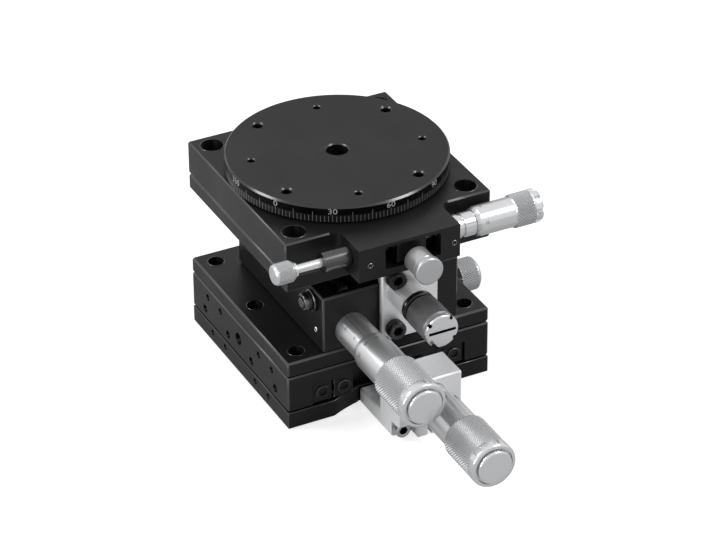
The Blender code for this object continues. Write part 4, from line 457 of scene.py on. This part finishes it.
def wrap_text(shape, text, size, radius, angle, height, turned=0.0, stretch=1.0, look=0):
    """Digits bent round local Z; turned is their own tilt, in degrees, seen from outside."""
    points, faces = glyphs(text, size)
    c, s = math.cos(math.radians(turned)), math.sin(math.radians(turned))
    bent = []
    for x, y, _ in points:
        x *= stretch
        u, v = x * c - y * s, x * s + y * c
        around = angle + u / radius
        bent.append((radius * math.cos(around), radius * math.sin(around), height + v))
    shape.add(bent, faces, look)


def tick(shape, radius, angle, low, high, width, look=0):
    """A mark along local Z on a barrel, from low to high."""
    half = width / 2 / radius
    shape.add([(radius * math.cos(angle + k * half), radius * math.sin(angle + k * half), h)
               for k, h in ((-1, low), (1, low), (1, high), (-1, high))], [(0, 1, 2, 3)], look)


def socket_head(radius, height, across, depth, chamfer=0.25, ribs=0):
    """A socket head screw's head: base at zero, open hexagon at the top."""
    shape = Shape()
    if ribs:
        groove, each = 0.09, 4
        sides, root = ribs * each, radius - groove
        low, high = 0.25 * height, height - 0.28 * height
        shape.skin([circle(root, 0, sides), circle(root, low, sides),
                    ribbed(radius, groove, low, ribs, 0.5, each),
                    ribbed(radius, groove, high, ribs, 0.5, each), circle(root, high, sides),
                    circle(root, height - chamfer, sides),
                    circle(root - chamfer, height, sides)])
    else:
        sides, root = 48, radius
        shape.lathe([(root, 0), (root, height - chamfer), (root - chamfer, height)], sides)
    # The socket's walls and floor take the second material, which the callers give as painted
    # shade.
    shape.skin([circle(root - chamfer, height, sides), circle(across * 0.62, height, sides),
                hexagon(across, height - 0.12, sides), hexagon(across, height - depth, sides),
                [(0, 0, height - depth - 0.3)]], looks=[0, 0, 1, 1])
    return shape


def set_screw(radius, across, sides=36):
    """A small set screw's face, sunk in its hole, with an open hexagon."""
    # The hexagon's walls take the second material, which the callers give as painted shade.
    return Shape().skin([circle(radius, 0, sides), circle(radius * 0.86, 0.12, sides),
                         circle(across * 0.62, 0.12, sides), hexagon(across, 0, sides),
                         hexagon(across, -0.8, sides), [(0, 0, -1.0)]],
                        looks=[0, 0, 0, 1, 1])


# ------------------------------------------------- the CAD's own pieces

def smooth_by_angle(notch=None):
    """Shades curved faces smoothly and keeps the edges crisp. notch is the size and the centre,
    in metres, of a box that is taken out first."""
    tree = bpy.data.node_groups.new("smooth_by_angle", "GeometryNodeTree")
    tree.interface.new_socket("Geometry", in_out="INPUT", socket_type="NodeSocketGeometry")
    tree.interface.new_socket("Geometry", in_out="OUTPUT", socket_type="NodeSocketGeometry")
    start = node(tree, "NodeGroupInput")
    solid = start.outputs[0]
    if notch:
        size, centre = notch
        block = node(tree, "GeometryNodeMeshCube", {"Size": size})
        block = node(tree, "GeometryNodeTransform", {"Geometry": block.outputs[0],
                                                     "Translation": centre})
        solid = node(tree, "GeometryNodeMeshBoolean",
                     {"Mesh 1": solid, "Mesh 2": block.outputs[0]}, operation="DIFFERENCE",
                     solver="EXACT").outputs[0]
    plain = node(tree, "GeometryNodeRemoveAttribute",
                 {"Geometry": solid, "Name": "custom_normal"})
    weld = node(tree, "GeometryNodeMergeByDistance", {"Geometry": plain.outputs[0],
                                                      "Distance": 1e-6})
    edge = node(tree, "GeometryNodeInputMeshEdgeAngle")
    sharp = node(tree, "FunctionNodeCompare", {0: edge.outputs[0], 1: math.radians(CAD_CREASE)},
                 data_type="FLOAT", operation="GREATER_THAN")
    shade = node(tree, "GeometryNodeSetShadeSmooth", {"Geometry": weld.outputs[0]})
    mark = node(tree, "GeometryNodeStoreNamedAttribute",
                {"Geometry": shade.outputs[0], "Name": "sharp_edge", "Value": sharp.outputs[0]},
                data_type="BOOLEAN", domain="EDGE")
    end = node(tree, "NodeGroupOutput")
    tree.links.new(mark.outputs[0], end.inputs[0])
    return tree


SMOOTH = smooth_by_angle()
slots = {part["node"]: part["material_slot"] for part in frame["record"]["subparts"]}
for name, cad in frame["nodes"].items():
    cad.data.materials.clear()
    cad.data.materials.append(OWN_LOOKS.get(name, SLOT_LOOKS[slots[name]]))
    cad.modifiers.new("smooth", "NODES").node_group = SMOOTH

# The small notch in the front lower edge of the bracket.
NOTCH_SIZE, NOTCH_CENTRE = (0.0014, 0.0036, 0.0040), Vector((0.0020, -0.0480, 0.0008))
bracket = frame["nodes"]["y_micrometer_bracket"]
bracket.modifiers["smooth"].node_group = smooth_by_angle(
    (NOTCH_SIZE, bracket.matrix_world.inverted() @ NOTCH_CENTRE))


# --------------------------------------------------- micrometer heads

def sleeve_marks(radius, line, low, high, zero, last, half, long, short, every, digits=0):
    """A sleeve's line from low to high, and its half-millimetre marks from zero down to last. They
    stand on alternate sides, and every so many is long. digits is the size of the numbers."""
    marks = Shape()
    tick(marks, radius, line, low, high, 2 * half)
    for i in range(int((zero - last) / 0.5) + 1):
        height = zero - i * 0.5
        reach = (short if i % every else long) * (-1 if i % 2 else 1)
        marks.add([(radius * math.cos(line + reach * s / radius),
                    radius * math.sin(line + reach * s / radius), height + d)
                   for s, d in ((0, -half), (1, -half), (1, half), (0, half))], [(0, 1, 2, 3)])
        if digits and i % every == 0:
            wrap_text(marks, str(i // 2), digits, radius, line + 2.3 / radius, height, 90)
    return marks


def thimble_marks(foot, long_tip, short_tip, half, every, digits, radius, height):
    """The fifty marks on a thimble's bevel, from a foot to a tip (radius, height). Each fifth one
    is long. The numbers, on every so many, have the size of digits."""
    marks = Shape()
    for i in range(50):
        angle = TURN * i / 50
        tip = short_tip if i % 5 else long_tip
        ring = []
        for k, (r, h) in ((-1, foot), (1, foot), (1, tip), (-1, tip)):
            spin = angle + k * half / r
            ring.append((r * math.cos(spin), r * math.sin(spin), h))
        marks.add(ring, [(0, 1, 2, 3)])
        if i % every == 0:
            wrap_text(marks, str(i), digits, radius, angle, height, 90)
    return marks


def big_thimble(prefix, body, x, z, back, cap_front):
    """Thimble with its cap: bevelled scale edge, smooth barrel, diamond knurl and end disc."""
    rear, grip, end = 2.5, 16.7, back - cap_front
    shape = Shape()
    shape.lathe([(4.82, rear + 0.02), (5.02, rear), (5.42, rear + 1.5), (5.45, rear + 1.7),
                 (5.45, grip - 0.45), (6.05, grip - 0.1), (6.2, grip)], 120, 0)
    shape.lathe([(4.82, rear + 0.02), (4.82, 8.0)], 120, 0)
    knurl(shape, 6.5, 0.3, grip, end - 3.9, 46, 0.88, 1)
    shape.lathe(soften([(6.2, end - 3.9), (6.34, end - 3.75), (6.34, end - 3.5),
                        (6.2, end - 3.45), (6.2, end - 3.25), (6.42, end - 3.15),
                        (6.42, end - 0.95, 0.9), (5.3, end - 0.95, 0.12),
                        (5.15, end - 1.6), (4.85, end - 1.6), (4.85, end, 0.75),
                        (0, end)], 6), 120, 2)
    at = axis_frame((x, back, z), FRONT)
    piece(prefix + "_thimble_turned", shape, [SATIN, KNURL, CAP], body, at, 20,
          (prefix + "_thimble", prefix + "_thimble_cap"))
    marks = thimble_marks((5.035, rear + 0.03), (5.455, rear + 1.5), (5.31, rear + 0.98), 0.05,
                          5, 1.7, 5.475, 5.5)
    piece(prefix + "_thimble_marks", marks, [INK], body, at)


def big_sleeve(prefix, body, x, z, back, length, zero, stands_for):
    """The fixed sleeve with its line, half-millimetre marks and numbers."""
    shape = Shape().lathe([(2.9, 0), (4.4, 0), (4.65, 0.25), (4.65, length - 0.3),
                           (4.4, length), (2.9, length)], 96, closed=True)
    at = axis_frame((x, back, z), FRONT)
    piece(prefix + "_sleeve_turned", shape, [SATIN], body, at, CREASE, stands_for)
    marks = sleeve_marks(4.665, math.radians(22), 1.5, length - 1.0, zero, 1.2, 0.05, 1.35, 0.9,
                         10, 1.3)
    piece(prefix + "_sleeve_marks", marks, [INK], body, at)


big_thimble("y", "y_thimble", 2.0, 11.6, -52.0, -85.0)
big_thimble("z", "z_thimble", -11.3, 26.4, -39.0, -72.0)
big_sleeve("y", "base", 2.0, 11.6, -38.9, 32.1, 12.9, ("y_sleeve",))
big_sleeve("z", "y_stage", -11.3, 26.4, -28.5, 29.5, 10.4, ("z_sleeve",))


def small_head():
    """The fine micrometer on the right: grooved sleeve, smooth barrel, knurl and notched end."""
    at = axis_frame((15.0, -35.5, 52.6), RIGHT)
    sleeve = Shape().lathe([(1.6, 0.05), (3.1, 0.05), (3.3, 0.25), (3.3, 1.9), (2.95, 2.05),
                            (2.95, 2.9), (3.3, 3.05), (3.3, 21.9), (3.1, 22.1), (1.6, 22.1)],
                           72, closed=True)
    piece("theta_sleeve_turned", sleeve, [SATIN], "z_stage", at, CREASE, ("theta_sleeve",))
    marks = sleeve_marks(3.315, math.radians(58), 3.3, 20.0, 7.4, 3.3, 0.04, 1.1, 0.75, 5)
    piece("theta_sleeve_marks", marks, [INK], "z_stage", at)

    at = axis_frame((21.4, -35.5, 52.6), RIGHT)
    shape = Shape()
    shape.lathe([(3.45, 5.0), (3.45, 0.02), (3.6, 0.0), (3.95, 0.9), (4.1, 1.1), (4.1, 11.3),
                 (4.32, 11.5), (4.36, 11.5)], 96)
    knurl(shape, 4.6, 0.26, 11.5, 17.0, 34, 0.8, 1)
    notches, each, crest = 8, 12, 0.62
    sides = notches * each

    def crown(radius, depth, height):
        return ribbed(radius, depth, height, notches, crest, each)

    shape.skin([circle(4.36, 17.0, sides), crown(4.5, 0.2, 17.25), crown(4.58, 0.83, 17.5),
                crown(4.58, 0.83, 18.8), crown(4.25, 0.7, 19.25), circle(3.2, 19.3, sides),
                circle(3.0, 19.0, sides), circle(0, 19.0, sides)])
    piece("theta_thimble_turned", shape, [SATIN, KNURL], "theta_thimble", at, 20,
          ("theta_thimble",))
    marks = thimble_marks((3.62, 0.03), (3.965, 0.9), (3.86, 0.6), 0.04, 10, 1.2, 4.12, 2.5)
    piece("theta_thimble_marks", marks, [INK], "theta_thimble", at)


small_head()


# ------------------------------------------------------------ knobs

def plunger_knob():
    """The spring plunger's rod and its small knurled knob."""
    origin = -15.0
    at = axis_frame((origin, -35.5, 52.9), LEFT)
    _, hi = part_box("plunger_rod")
    inner = origin - hi.x / MM
    shape = Shape()
    shape.lathe([(0, inner), (1.0, inner), (1.2, inner + 0.2), (1.2, 13.2), (1.2, 14.55)], 48, 0)
    shape.lathe(soften([(1.2, 14.7), (1.9, 14.7, 0.15), (1.95, 15.35), (2.45, 15.6, 0.2),
                        (2.76, 16.2)]), 72, 0)
    knurl(shape, 2.92, 0.17, 16.2, 20.5, 26, 0.66, 1)
    shape.lathe(soften([(2.75, 20.5), (2.72, 20.75, 0.1), (2.3, 21.2, 0.15), (0, 21.2)]), 72, 0)
    piece("plunger_knob_knurled", shape, [SATIN, KNURL], "plunger_rod", at, CREASE,
          ("plunger_rod",))


def theta_clamp():
    """The clamp screw in front of the turntable: a smooth barrel, a fine groove and a disc."""
    origin = -42.0
    _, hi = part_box("theta_clamp_knob")
    at = axis_frame((1.3, origin, 51.3), FRONT)
    inner = origin - hi.y / MM
    shape = Shape()
    shape.lathe([(0, inner), (0.9, inner), (1.1, inner + 0.25), (1.1, -0.6), (1.1, 0.0),
                 (2.2, 0.0), (2.3, 0.1), (3.5, 0.65), (3.5, 5.75), (3.3, 5.95), (3.3, 6.15),
                 (3.6, 6.3)], 72, 0)
    shape.lathe(soften([(3.6, 6.3), (3.9, 6.5, 0.15), (3.9, 8.0, 0.2), (3.5, 8.28, 0.15),
                        (0, 8.3)]), 72, 0)
    piece("theta_clamp_turned", shape, [MATTE], "theta_clamp_knob", at, CREASE,
          ("theta_clamp_knob",))


def shank(inner):
    """The screw of a clamp knob, from its tip to the knob's rear face at zero."""
    return [(0, inner), (1.2, inner), (1.45, inner + 0.3), (1.45, -0.2), (1.45, 0.0)]


def z_clamp():
    """The grey ribbed knob with its bright slotted end, and the ring behind it."""
    origin = -43.4
    _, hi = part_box("z_clamp_knob")
    at = axis_frame((2.4, origin, 35.6), FRONT)
    ribs, depth, each = 60, 0.07, 6
    count = ribs * each
    body = Shape()
    body.lathe(shank(origin - hi.y / MM), 48)
    body.skin([circle(1.45, 0, count), circle(4.0, 0.0, count), circle(4.35, 0.3, count),
               circle(4.5, 0.45, count), ribbed(4.78, depth, 0.75, ribs, sides_each=each),
               ribbed(4.78, depth, 9.35, ribs, sides_each=each), circle(4.5, 9.65, count),
               circle(4.2, 10.25, count), circle(3.9, 10.3, count)])
    piece("z_clamp_knob_ribbed", body, [GREY], "z_clamp_knob", at, 25, ("z_clamp_knob",))
    end = Shape().lathe(soften([(3.95, 9.9), (4.6, 9.95, 0.1), (4.72, 10.2), (4.72, 11.3, 0.15),
                                (4.45, 11.6, 0.15), (0, 11.6)]), 96)
    made = piece("z_clamp_end_slotted", end, [CAP], "z_clamp_knob", at, CREASE)
    # The slot and the four notches in the bright end are lined with painted shade.
    half_width, half_length, floor, above = 0.42, 3.9, 10.5, 12.5
    corners = [(x * half_width, y * half_length, h) for h in (floor, above)
               for x, y in ((-1, -1), (1, -1), (1, 1), (-1, 1))]
    sides = [(0, 3, 2, 1), (4, 5, 6, 7), (0, 1, 5, 4), (1, 2, 6, 5), (2, 3, 7, 6), (3, 0, 4, 7)]
    cut(made, [(Shape().add(corners, sides), Matrix.Identity(4))], RECESS_SHADE)
    notches = []
    for i in range(4):
        angle = math.radians(-36 + 90 * i)
        notch = Shape().lathe([(0, 9.0), (0.55, 9.0), (0.55, 13.0), (0, 13.0)], 20)
        notches.append((notch, Matrix.Translation((4.35 * math.cos(angle),
                                                   4.35 * math.sin(angle), 0))))
    cut(made, notches, RECESS_SHADE)
    lo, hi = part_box("z_clamp_collar")
    start, stop = (origin - hi.y / MM), (origin - lo.y / MM)
    mid = (start + stop) / 2
    ring = Shape()
    ring.lathe([(3.0, start), (4.35, start), (4.7, start + 0.25), (4.7, mid - 0.32),
                (4.5, mid - 0.25), (4.5, mid - 0.22)], 96, 0)
    ring.lathe([(4.5, mid - 0.22), (4.62, mid - 0.2), (4.62, mid + 0.2), (4.5, mid + 0.22)],
               96, 1)
    ring.lathe([(4.5, mid + 0.22), (4.5, mid + 0.25), (4.7, mid + 0.32), (4.7, stop - 0.2),
                (4.45, stop), (3.0, stop), (3.0, start)], 96, 0)
    piece("z_clamp_collar_rings", ring, [OXIDE, CHROME], "z_stage", at, CREASE,
          ("z_clamp_collar",))


def y_clamp():
    """The Y lock's knob on the right: coarse knurl, chamfers and a domed end."""
    origin = 35.1
    lo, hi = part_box("y_clamp_knob")
    at = axis_frame((origin, 2.0, 10.0), RIGHT)
    end = hi.x / MM - origin
    shape = Shape()
    shape.lathe(shank(lo.x / MM - origin), 48, 0)
    shape.lathe(soften([(1.45, 0), (2.9, 0, 0.2), (2.95, 1.1), (3.2, 1.25), (4.64, 2.1)]), 96, 0)
    knurl(shape, 4.8, 0.16, 2.1, end - 1.5, 40, 0.74, 1)
    shape.lathe(soften([(4.64, end - 1.5), (4.6, end - 1.35), (3.6, end - 0.45, 0.5),
                        (2.0, end - 0.05, 0.6), (0, end)]), 96, 0)
    piece("y_clamp_knob_knurled", shape, [SATIN, KNURL], "y_clamp_knob", at, CREASE,
          ("y_clamp_knob",))


plunger_knob()
theta_clamp()
z_clamp()
y_clamp()


# ------------------------------------------------------------ screws

def socket_screw(name, cad, radius, height, across, looks, body, ribs=0):
    """A screw in place of a CAD one that faces the front: its head, and its plain shank."""
    lo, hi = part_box(cad)
    x, z = (lo.x + hi.x) / 2 / MM, (lo.z + hi.z) / 2 / MM
    top = lo.y / MM
    at = axis_frame((x, top + height, z), FRONT)
    shape = socket_head(radius, height, across, height * 0.6, 0.22, ribs)
    inner = top + height - hi.y / MM
    shape.lathe([(radius - 0.05, 0), (radius * 0.5, 0), (radius * 0.5, inner + 0.3),
                 (radius * 0.35, inner), (0, inner)], 24)
    piece(name, shape, looks, body, at, 30, (cad,))


# The screws' sockets take painted shade.
for which in ("lower", "upper"):
    socket_screw("z_clamp_plate_bolt_" + which, "z_clamp_plate_screw_" + which, 2.6, 2.6, 2.5,
                 [OXIDE, RECESS_SHADE], "z_stage", 30)
for which in ("left", "right"):
    socket_screw("y_bracket_bolt_" + which, "y_bracket_screw_" + which, 2.1, 2.2, 2.2,
                 [GROUND, RECESS_SHADE], "base")


def lever_pin():
    """The crank's pivot screw on the left, with its washer."""
    origin = -20.7
    lo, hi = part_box("z_lever_pin")
    y, z = (lo.y + hi.y) / 2 / MM, (lo.z + hi.z) / 2 / MM
    at = axis_frame((origin, y, z), LEFT)
    shape = Shape().lathe(soften([(2.6, 0), (2.6, 1.5, 0.3), (2.25, 2.0, 0.2), (2.0, 2.05),
                                  (2.0, 1.75), (1.55, 1.75), (1.5, 2.3, 0.15), (1.1, 2.4, 0.1),
                                  (0, 2.4)]), 72)
    inner = origin - hi.x / MM
    shape.lathe([(2.6, 0), (1.2, 0), (1.2, inner + 0.2), (1.0, inner), (0, inner)], 36)
    piece("z_lever_pin_turned", shape, [DARK], "y_stage", at, 30, ("z_lever_pin",))
    lo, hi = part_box("z_lever_washer")
    start, stop = origin - hi.x / MM, origin - lo.x / MM
    ring = Shape().lathe([(1.5, start), (2.95, start), (3.1, start + 0.12), (3.1, stop - 0.18),
                          (2.9, stop), (1.5, stop)], 72, closed=True)
    piece("z_lever_washer_turned", ring, [DARK], "y_stage", at, 30, ("z_lever_washer",))


lever_pin()


def lift_spring(cad):
    """A compression spring under the carriage, wound to fill its CAD node's box."""
    lo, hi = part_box(cad)
    x, y = (lo.x + hi.x) / 2 / MM, (lo.y + hi.y) / 2 / MM
    radius, turns, steps, sides = 1.5, 7, 28, 8
    wire = (hi.x - lo.x) / 2 / MM - radius
    low, high = lo.z / MM + wire, hi.z / MM - wire
    rings, centres = [], []
    for i in range(turns * steps + 1):
        angle = TURN * i / steps
        out = Vector((math.cos(angle), math.sin(angle), 0))
        along = Vector((-radius * out.y, radius * out.x, (high - low) / turns / TURN))
        side = along.normalized().cross(out)
        centre = Vector((x, y, low + (high - low) * i / turns / steps)) + out * radius
        spins = [TURN * k / sides for k in range(sides)]
        rings.append([centre + wire * (out * math.cos(a) + side * math.sin(a)) for a in spins])
        centres.append(centre)
    shape = Shape().skin([[centres[0]]] + rings + [[centres[-1]]])
    made = piece(cad + "_wound", shape, [GROUND], None, None, 60, (cad,))
    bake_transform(made)


lift_spring("z_spring_front")
lift_spring("z_spring_rear")


# ------------------------------------------------------------ turntable

def turntable():
    """The disc with its dial rim, holes and marks."""
    lo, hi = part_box("theta_turntable")
    bottom, top = lo.z / MM, hi.z / MM
    rim_low, rim = 57.5, 29.95
    shape = Shape()
    # The rim's upper band takes the painted-shade black, and its top chamfer takes the polished
    # bevel.
    shape.lathe([(8.0, bottom), (12.7, bottom), (13.0, bottom + 0.3), (13.0, rim_low),
                 (29.6, rim_low), (rim, rim_low + 0.2), (rim, 59.75), (rim, top - 0.5),
                 (29.5, top), (3.0, top), (2.95, top - 0.05), (2.95, rim_low + 1.0),
                 (8.0, rim_low + 1.0)], 240, looks=[0] * 6 + [1, 2] + [0] * 5, closed=True)
    at = Matrix.Identity(4)
    made = piece("turntable_disc", shape, [DISC, SHADED_BAND, BEVEL], "turntable", at, CREASE,
                 ("theta_turntable",))

    def hole(radius, chamfer):
        return Shape().lathe([(0, top + 1), (radius + chamfer + 1, top + 1),
                              (radius + chamfer, top), (radius, top - chamfer),
                              (radius, rim_low - 1), (0, rim_low - 1)], 40)

    centre_hole = Shape().lathe([(0, top + 1), (4.3, top + 1), (3.3, top), (2.8, top - 0.5),
                                 (2.8, top - 0.6), (0, top - 0.6)], 60)
    cutters = [(centre_hole, Matrix.Identity(4))]
    for pitch_radius, first, radius, chamfer in ((25.0, 31.7, 1.38, 0.42),
                                                 (23.3, -13.0, 0.98, 0.3)):
        for i in range(4):
            angle = math.radians(first + 90 * i)
            spot = (pitch_radius * math.cos(angle), pitch_radius * math.sin(angle), 0)
            cutters.append((hole(radius, chamfer), Matrix.Translation(spot)))
    cut(made, cutters, BORE)
    marks = Shape()
    zero, ink = math.radians(-148.9), rim + 0.02
    for i in range(180):
        high = 59.9 if i % 15 == 0 else 60.6 if i % 5 == 0 else 59.5
        tick(marks, ink, zero + TURN * i / 180, 57.72, high, 0.13)
    for i in range(12):
        wrap_text(marks, str(30 * i), 2.3, ink, zero + TURN * i / 12, 60.78, 0, 1.15, 1)
    piece("turntable_marks", marks, [PAINT, DIGITS], "turntable", at)


turntable()


# ------------------------------------------------------------ small details

def plate(wide, high, corner, height):
    """A rounded rectangle of the given half width and half height: local X is up."""
    ring = []
    for k, (cx, cy) in enumerate(((1, 1), (-1, 1), (-1, -1), (1, -1))):
        for i in range(5):
            a = math.radians(90 * k + 90 * i / 4)
            ring.append((cx * (high - corner) + corner * math.cos(a),
                         cy * (wide - corner) + corner * math.sin(a), height))
    return ring


def on_face(name, shape, looks, body, spots, axis, up=UP):
    """Copies of one shape, set at the given places along one axis, as one piece."""
    whole = Shape()
    for spot in spots:
        whole.join(shape, axis_frame(spot, axis, up))
    piece(name, whole, looks, body, smooth=30)


def details():
    """End plates of the Y rails with their stop screws, set screws, and the holes' pale rims."""
    low = socket_head(1.95, 0.5, 1.9, 0.45, 0.2)
    for side, sign in (("left", -1), ("right", 1)):
        for end, turned, face in (("front", -1, -29.0), ("rear", 1, 29.0)):
            for kind, body, near, far in (("fixed", "base", 10.6, 16.1),
                                          ("moving", "y_stage", 16.9, 22.4)):
                wide = (far - near) / 2
                cover = Shape().skin([plate(wide, 2.9, 0.4, 0), plate(wide, 2.9, 0.4, 0.25),
                                      plate(wide - 0.12, 2.78, 0.3, 0.38), [(0, 0, 0.38)]])
                cover.join(low, Matrix.Translation((0, 0, 0.38)))
                # The stop screws' sockets and the set screws' sockets take painted shade.
                on_face(f"rail_end_{side}_{end}_{kind}", cover, [BLACK, RECESS_SHADE], body,
                        [(sign * (near + far) / 2, face, 8.4)], (0, turned, 0))
    tiny = set_screw(0.85, 0.9)
    on_face("lug_set_screws", tiny, [DARK, RECESS_SHADE], "z_stage",
            [(-11.4, -41.56, 52.0), (13.0, -41.56, 52.0)], FRONT)
    on_face("housing_set_screw", tiny, [GROUND, RECESS_SHADE], "y_stage", [(-19.56, -25.7, 25.9)],
            LEFT)

    def rim(radius):
        return Shape().lathe([(radius - 0.02, -0.5), (radius - 0.02, 0.02), (radius + 0.1, 0.08),
                              (radius + 0.26, 0.05), (radius + 0.34, -0.02)], 48)

    on_face("base_plate_hole_rims", rim(2.2), [BEVEL], "y_stage",
            [(x, y, 20.5) for x in (-25, 25) for y in (-25, 0, 25)], UP, RIGHT)
    on_face("theta_body_hole_rims", rim(3.1), [BEVEL], "z_stage",
            [(x, y, 57.2) for x in (-25, 25) for y in (-25, 25)], UP, RIGHT)


details()


# ------------------------------------------------------------ light and camera

def light_path_white(tree, strength, share=1.0):
    """The strength for what the camera and transmitted rays see, a share of it for glossy rays."""
    path = node(tree, "ShaderNodeLightPath")
    shiny = maths(tree, "MULTIPLY", path.outputs["Is Glossy Ray"], share)
    seen = maths(tree, "MAXIMUM", path.outputs["Is Camera Ray"], shiny)
    seen = maths(tree, "MAXIMUM", seen, path.outputs["Is Transmission Ray"])
    return maths(tree, "MULTIPLY", seen, strength)


def sheet(name, wide, high, look):
    """A flat rectangle, in metres."""
    mesh = bpy.data.meshes.new(name)
    mesh.from_pydata([(-wide / 2, -high / 2, 0), (wide / 2, -high / 2, 0),
                      (wide / 2, high / 2, 0), (-wide / 2, high / 2, 0)], [], [(0, 1, 2, 3)])
    mesh.materials.append(look)
    made = bpy.data.objects.new(name, mesh)
    scene.collection.objects.link(made)
    return made


def aim(made, spot, target, track):
    """Puts an object at a spot, in metres, with its track axis towards the target."""
    made.location = spot
    made.rotation_mode = "QUATERNION"
    made.rotation_quaternion = (Vector(target) - Vector(spot)).to_track_quat(track, "Y")


def background():
    """White for the camera and for reflections, and dimmer as a light."""
    world = bpy.data.worlds.new("studio")
    world.use_nodes = True
    scene.world = world
    tree = world.node_tree
    back = tree.nodes["Background"]
    back.inputs["Color"].default_value = (1, 1, 1, 1)
    level = maths(tree, "ADD", light_path_white(tree, 0.6), 0.4)
    tree.links.new(level, back.inputs["Strength"])


def floor_sheet():
    """A white floor that keeps the part's shadow and is clear from underneath."""
    look = bpy.data.materials.new("pale_floor")
    look.use_nodes = True
    tree = look.node_tree
    tree.nodes.remove(tree.nodes["Principled BSDF"])
    matte = node(tree, "ShaderNodeBsdfDiffuse", {"Color": (0.5, 0.5, 0.5, 1)})
    glow = node(tree, "ShaderNodeEmission", {"Strength": light_path_white(tree, 0.7, 0.18)})
    both = node(tree, "ShaderNodeAddShader", {0: matte.outputs[0], 1: glow.outputs[0]})
    clear = node(tree, "ShaderNodeBsdfTransparent")
    under = node(tree, "ShaderNodeNewGeometry").outputs["Backfacing"]
    mix = node(tree, "ShaderNodeMixShader", {0: under, 1: both.outputs[0], 2: clear.outputs[0]})
    tree.links.new(mix.outputs[0], tree.nodes["Material Output"].inputs[0])
    floor = sheet("floor", 8.0, 8.0, look)
    floor.location.z = -0.0002


def dark_card():
    """A black card behind the part, seen only in reflections."""
    look = bpy.data.materials.new("black_card")
    look.use_nodes = True
    shader = look.node_tree.nodes["Principled BSDF"]
    shader.inputs["Base Color"].default_value = (0.01, 0.01, 0.01, 1)
    shader.inputs["Specular IOR Level"].default_value = 0
    card = sheet("card_back", 0.34, 0.17, look)
    aim(card, (0.36, 0.5, 0.2), (0, 0, 0.04), "Z")
    card.visible_camera = card.visible_diffuse = card.visible_shadow = False


def lamps():
    """Three round lamps: name, spot in metres, width in metres and power in watts."""
    for name, spot, size, power in (("left", (-0.69, 0.28, 0.69), 0.36, 4.4),
                                    ("right", (0.55, -0.45, 0.73), 0.36, 5.0),
                                    ("fill", (-1.0, -0.2, 0.24), 0.5, 2.6)):
        lamp = bpy.data.lights.new(name, "AREA")
        lamp.shape, lamp.size, lamp.energy = "DISK", size, power
        made = bpy.data.objects.new(name, lamp)
        aim(made, spot, (0, 0, 0.03), "-Z")
        scene.collection.objects.link(made)


def camera():
    """The photo's camera, fitted to the corners of the plates, in degrees, metres and pixels."""
    azimuth, elevation, roll = (math.radians(v) for v in (-26.747835, 32.179936, -0.425499))
    distance, to_right, downwards = 0.912527, 0.0053125, 0.0048490
    focal_length, picture_width, sensor = 3382.961, 716, 36.0
    back = Vector((math.sin(azimuth) * math.cos(elevation),
                   -math.cos(azimuth) * math.cos(elevation), math.sin(elevation)))
    right = Vector((math.cos(azimuth), math.sin(azimuth), 0))
    up = back.cross(right)
    eye = Vector((0, 0, 0.030)) + back * distance + right * to_right - up * downwards
    c, s = math.cos(roll), math.sin(roll)
    right, up = right * c + up * s, up * c - right * s
    made = bpy.data.objects.new("camera", bpy.data.cameras.new("camera"))
    made.matrix_world = Matrix((right, up, back)).transposed().to_4x4()
    made.location = eye
    made.data.sensor_width = sensor
    made.data.lens = focal_length * sensor / picture_width
    made.data.clip_start, made.data.clip_end = 0.05, 20.0
    scene.collection.objects.link(made)
    scene.camera = made


background()
floor_sheet()
lamps()
dark_card()
camera()
scene.view_settings.view_transform = "Standard"
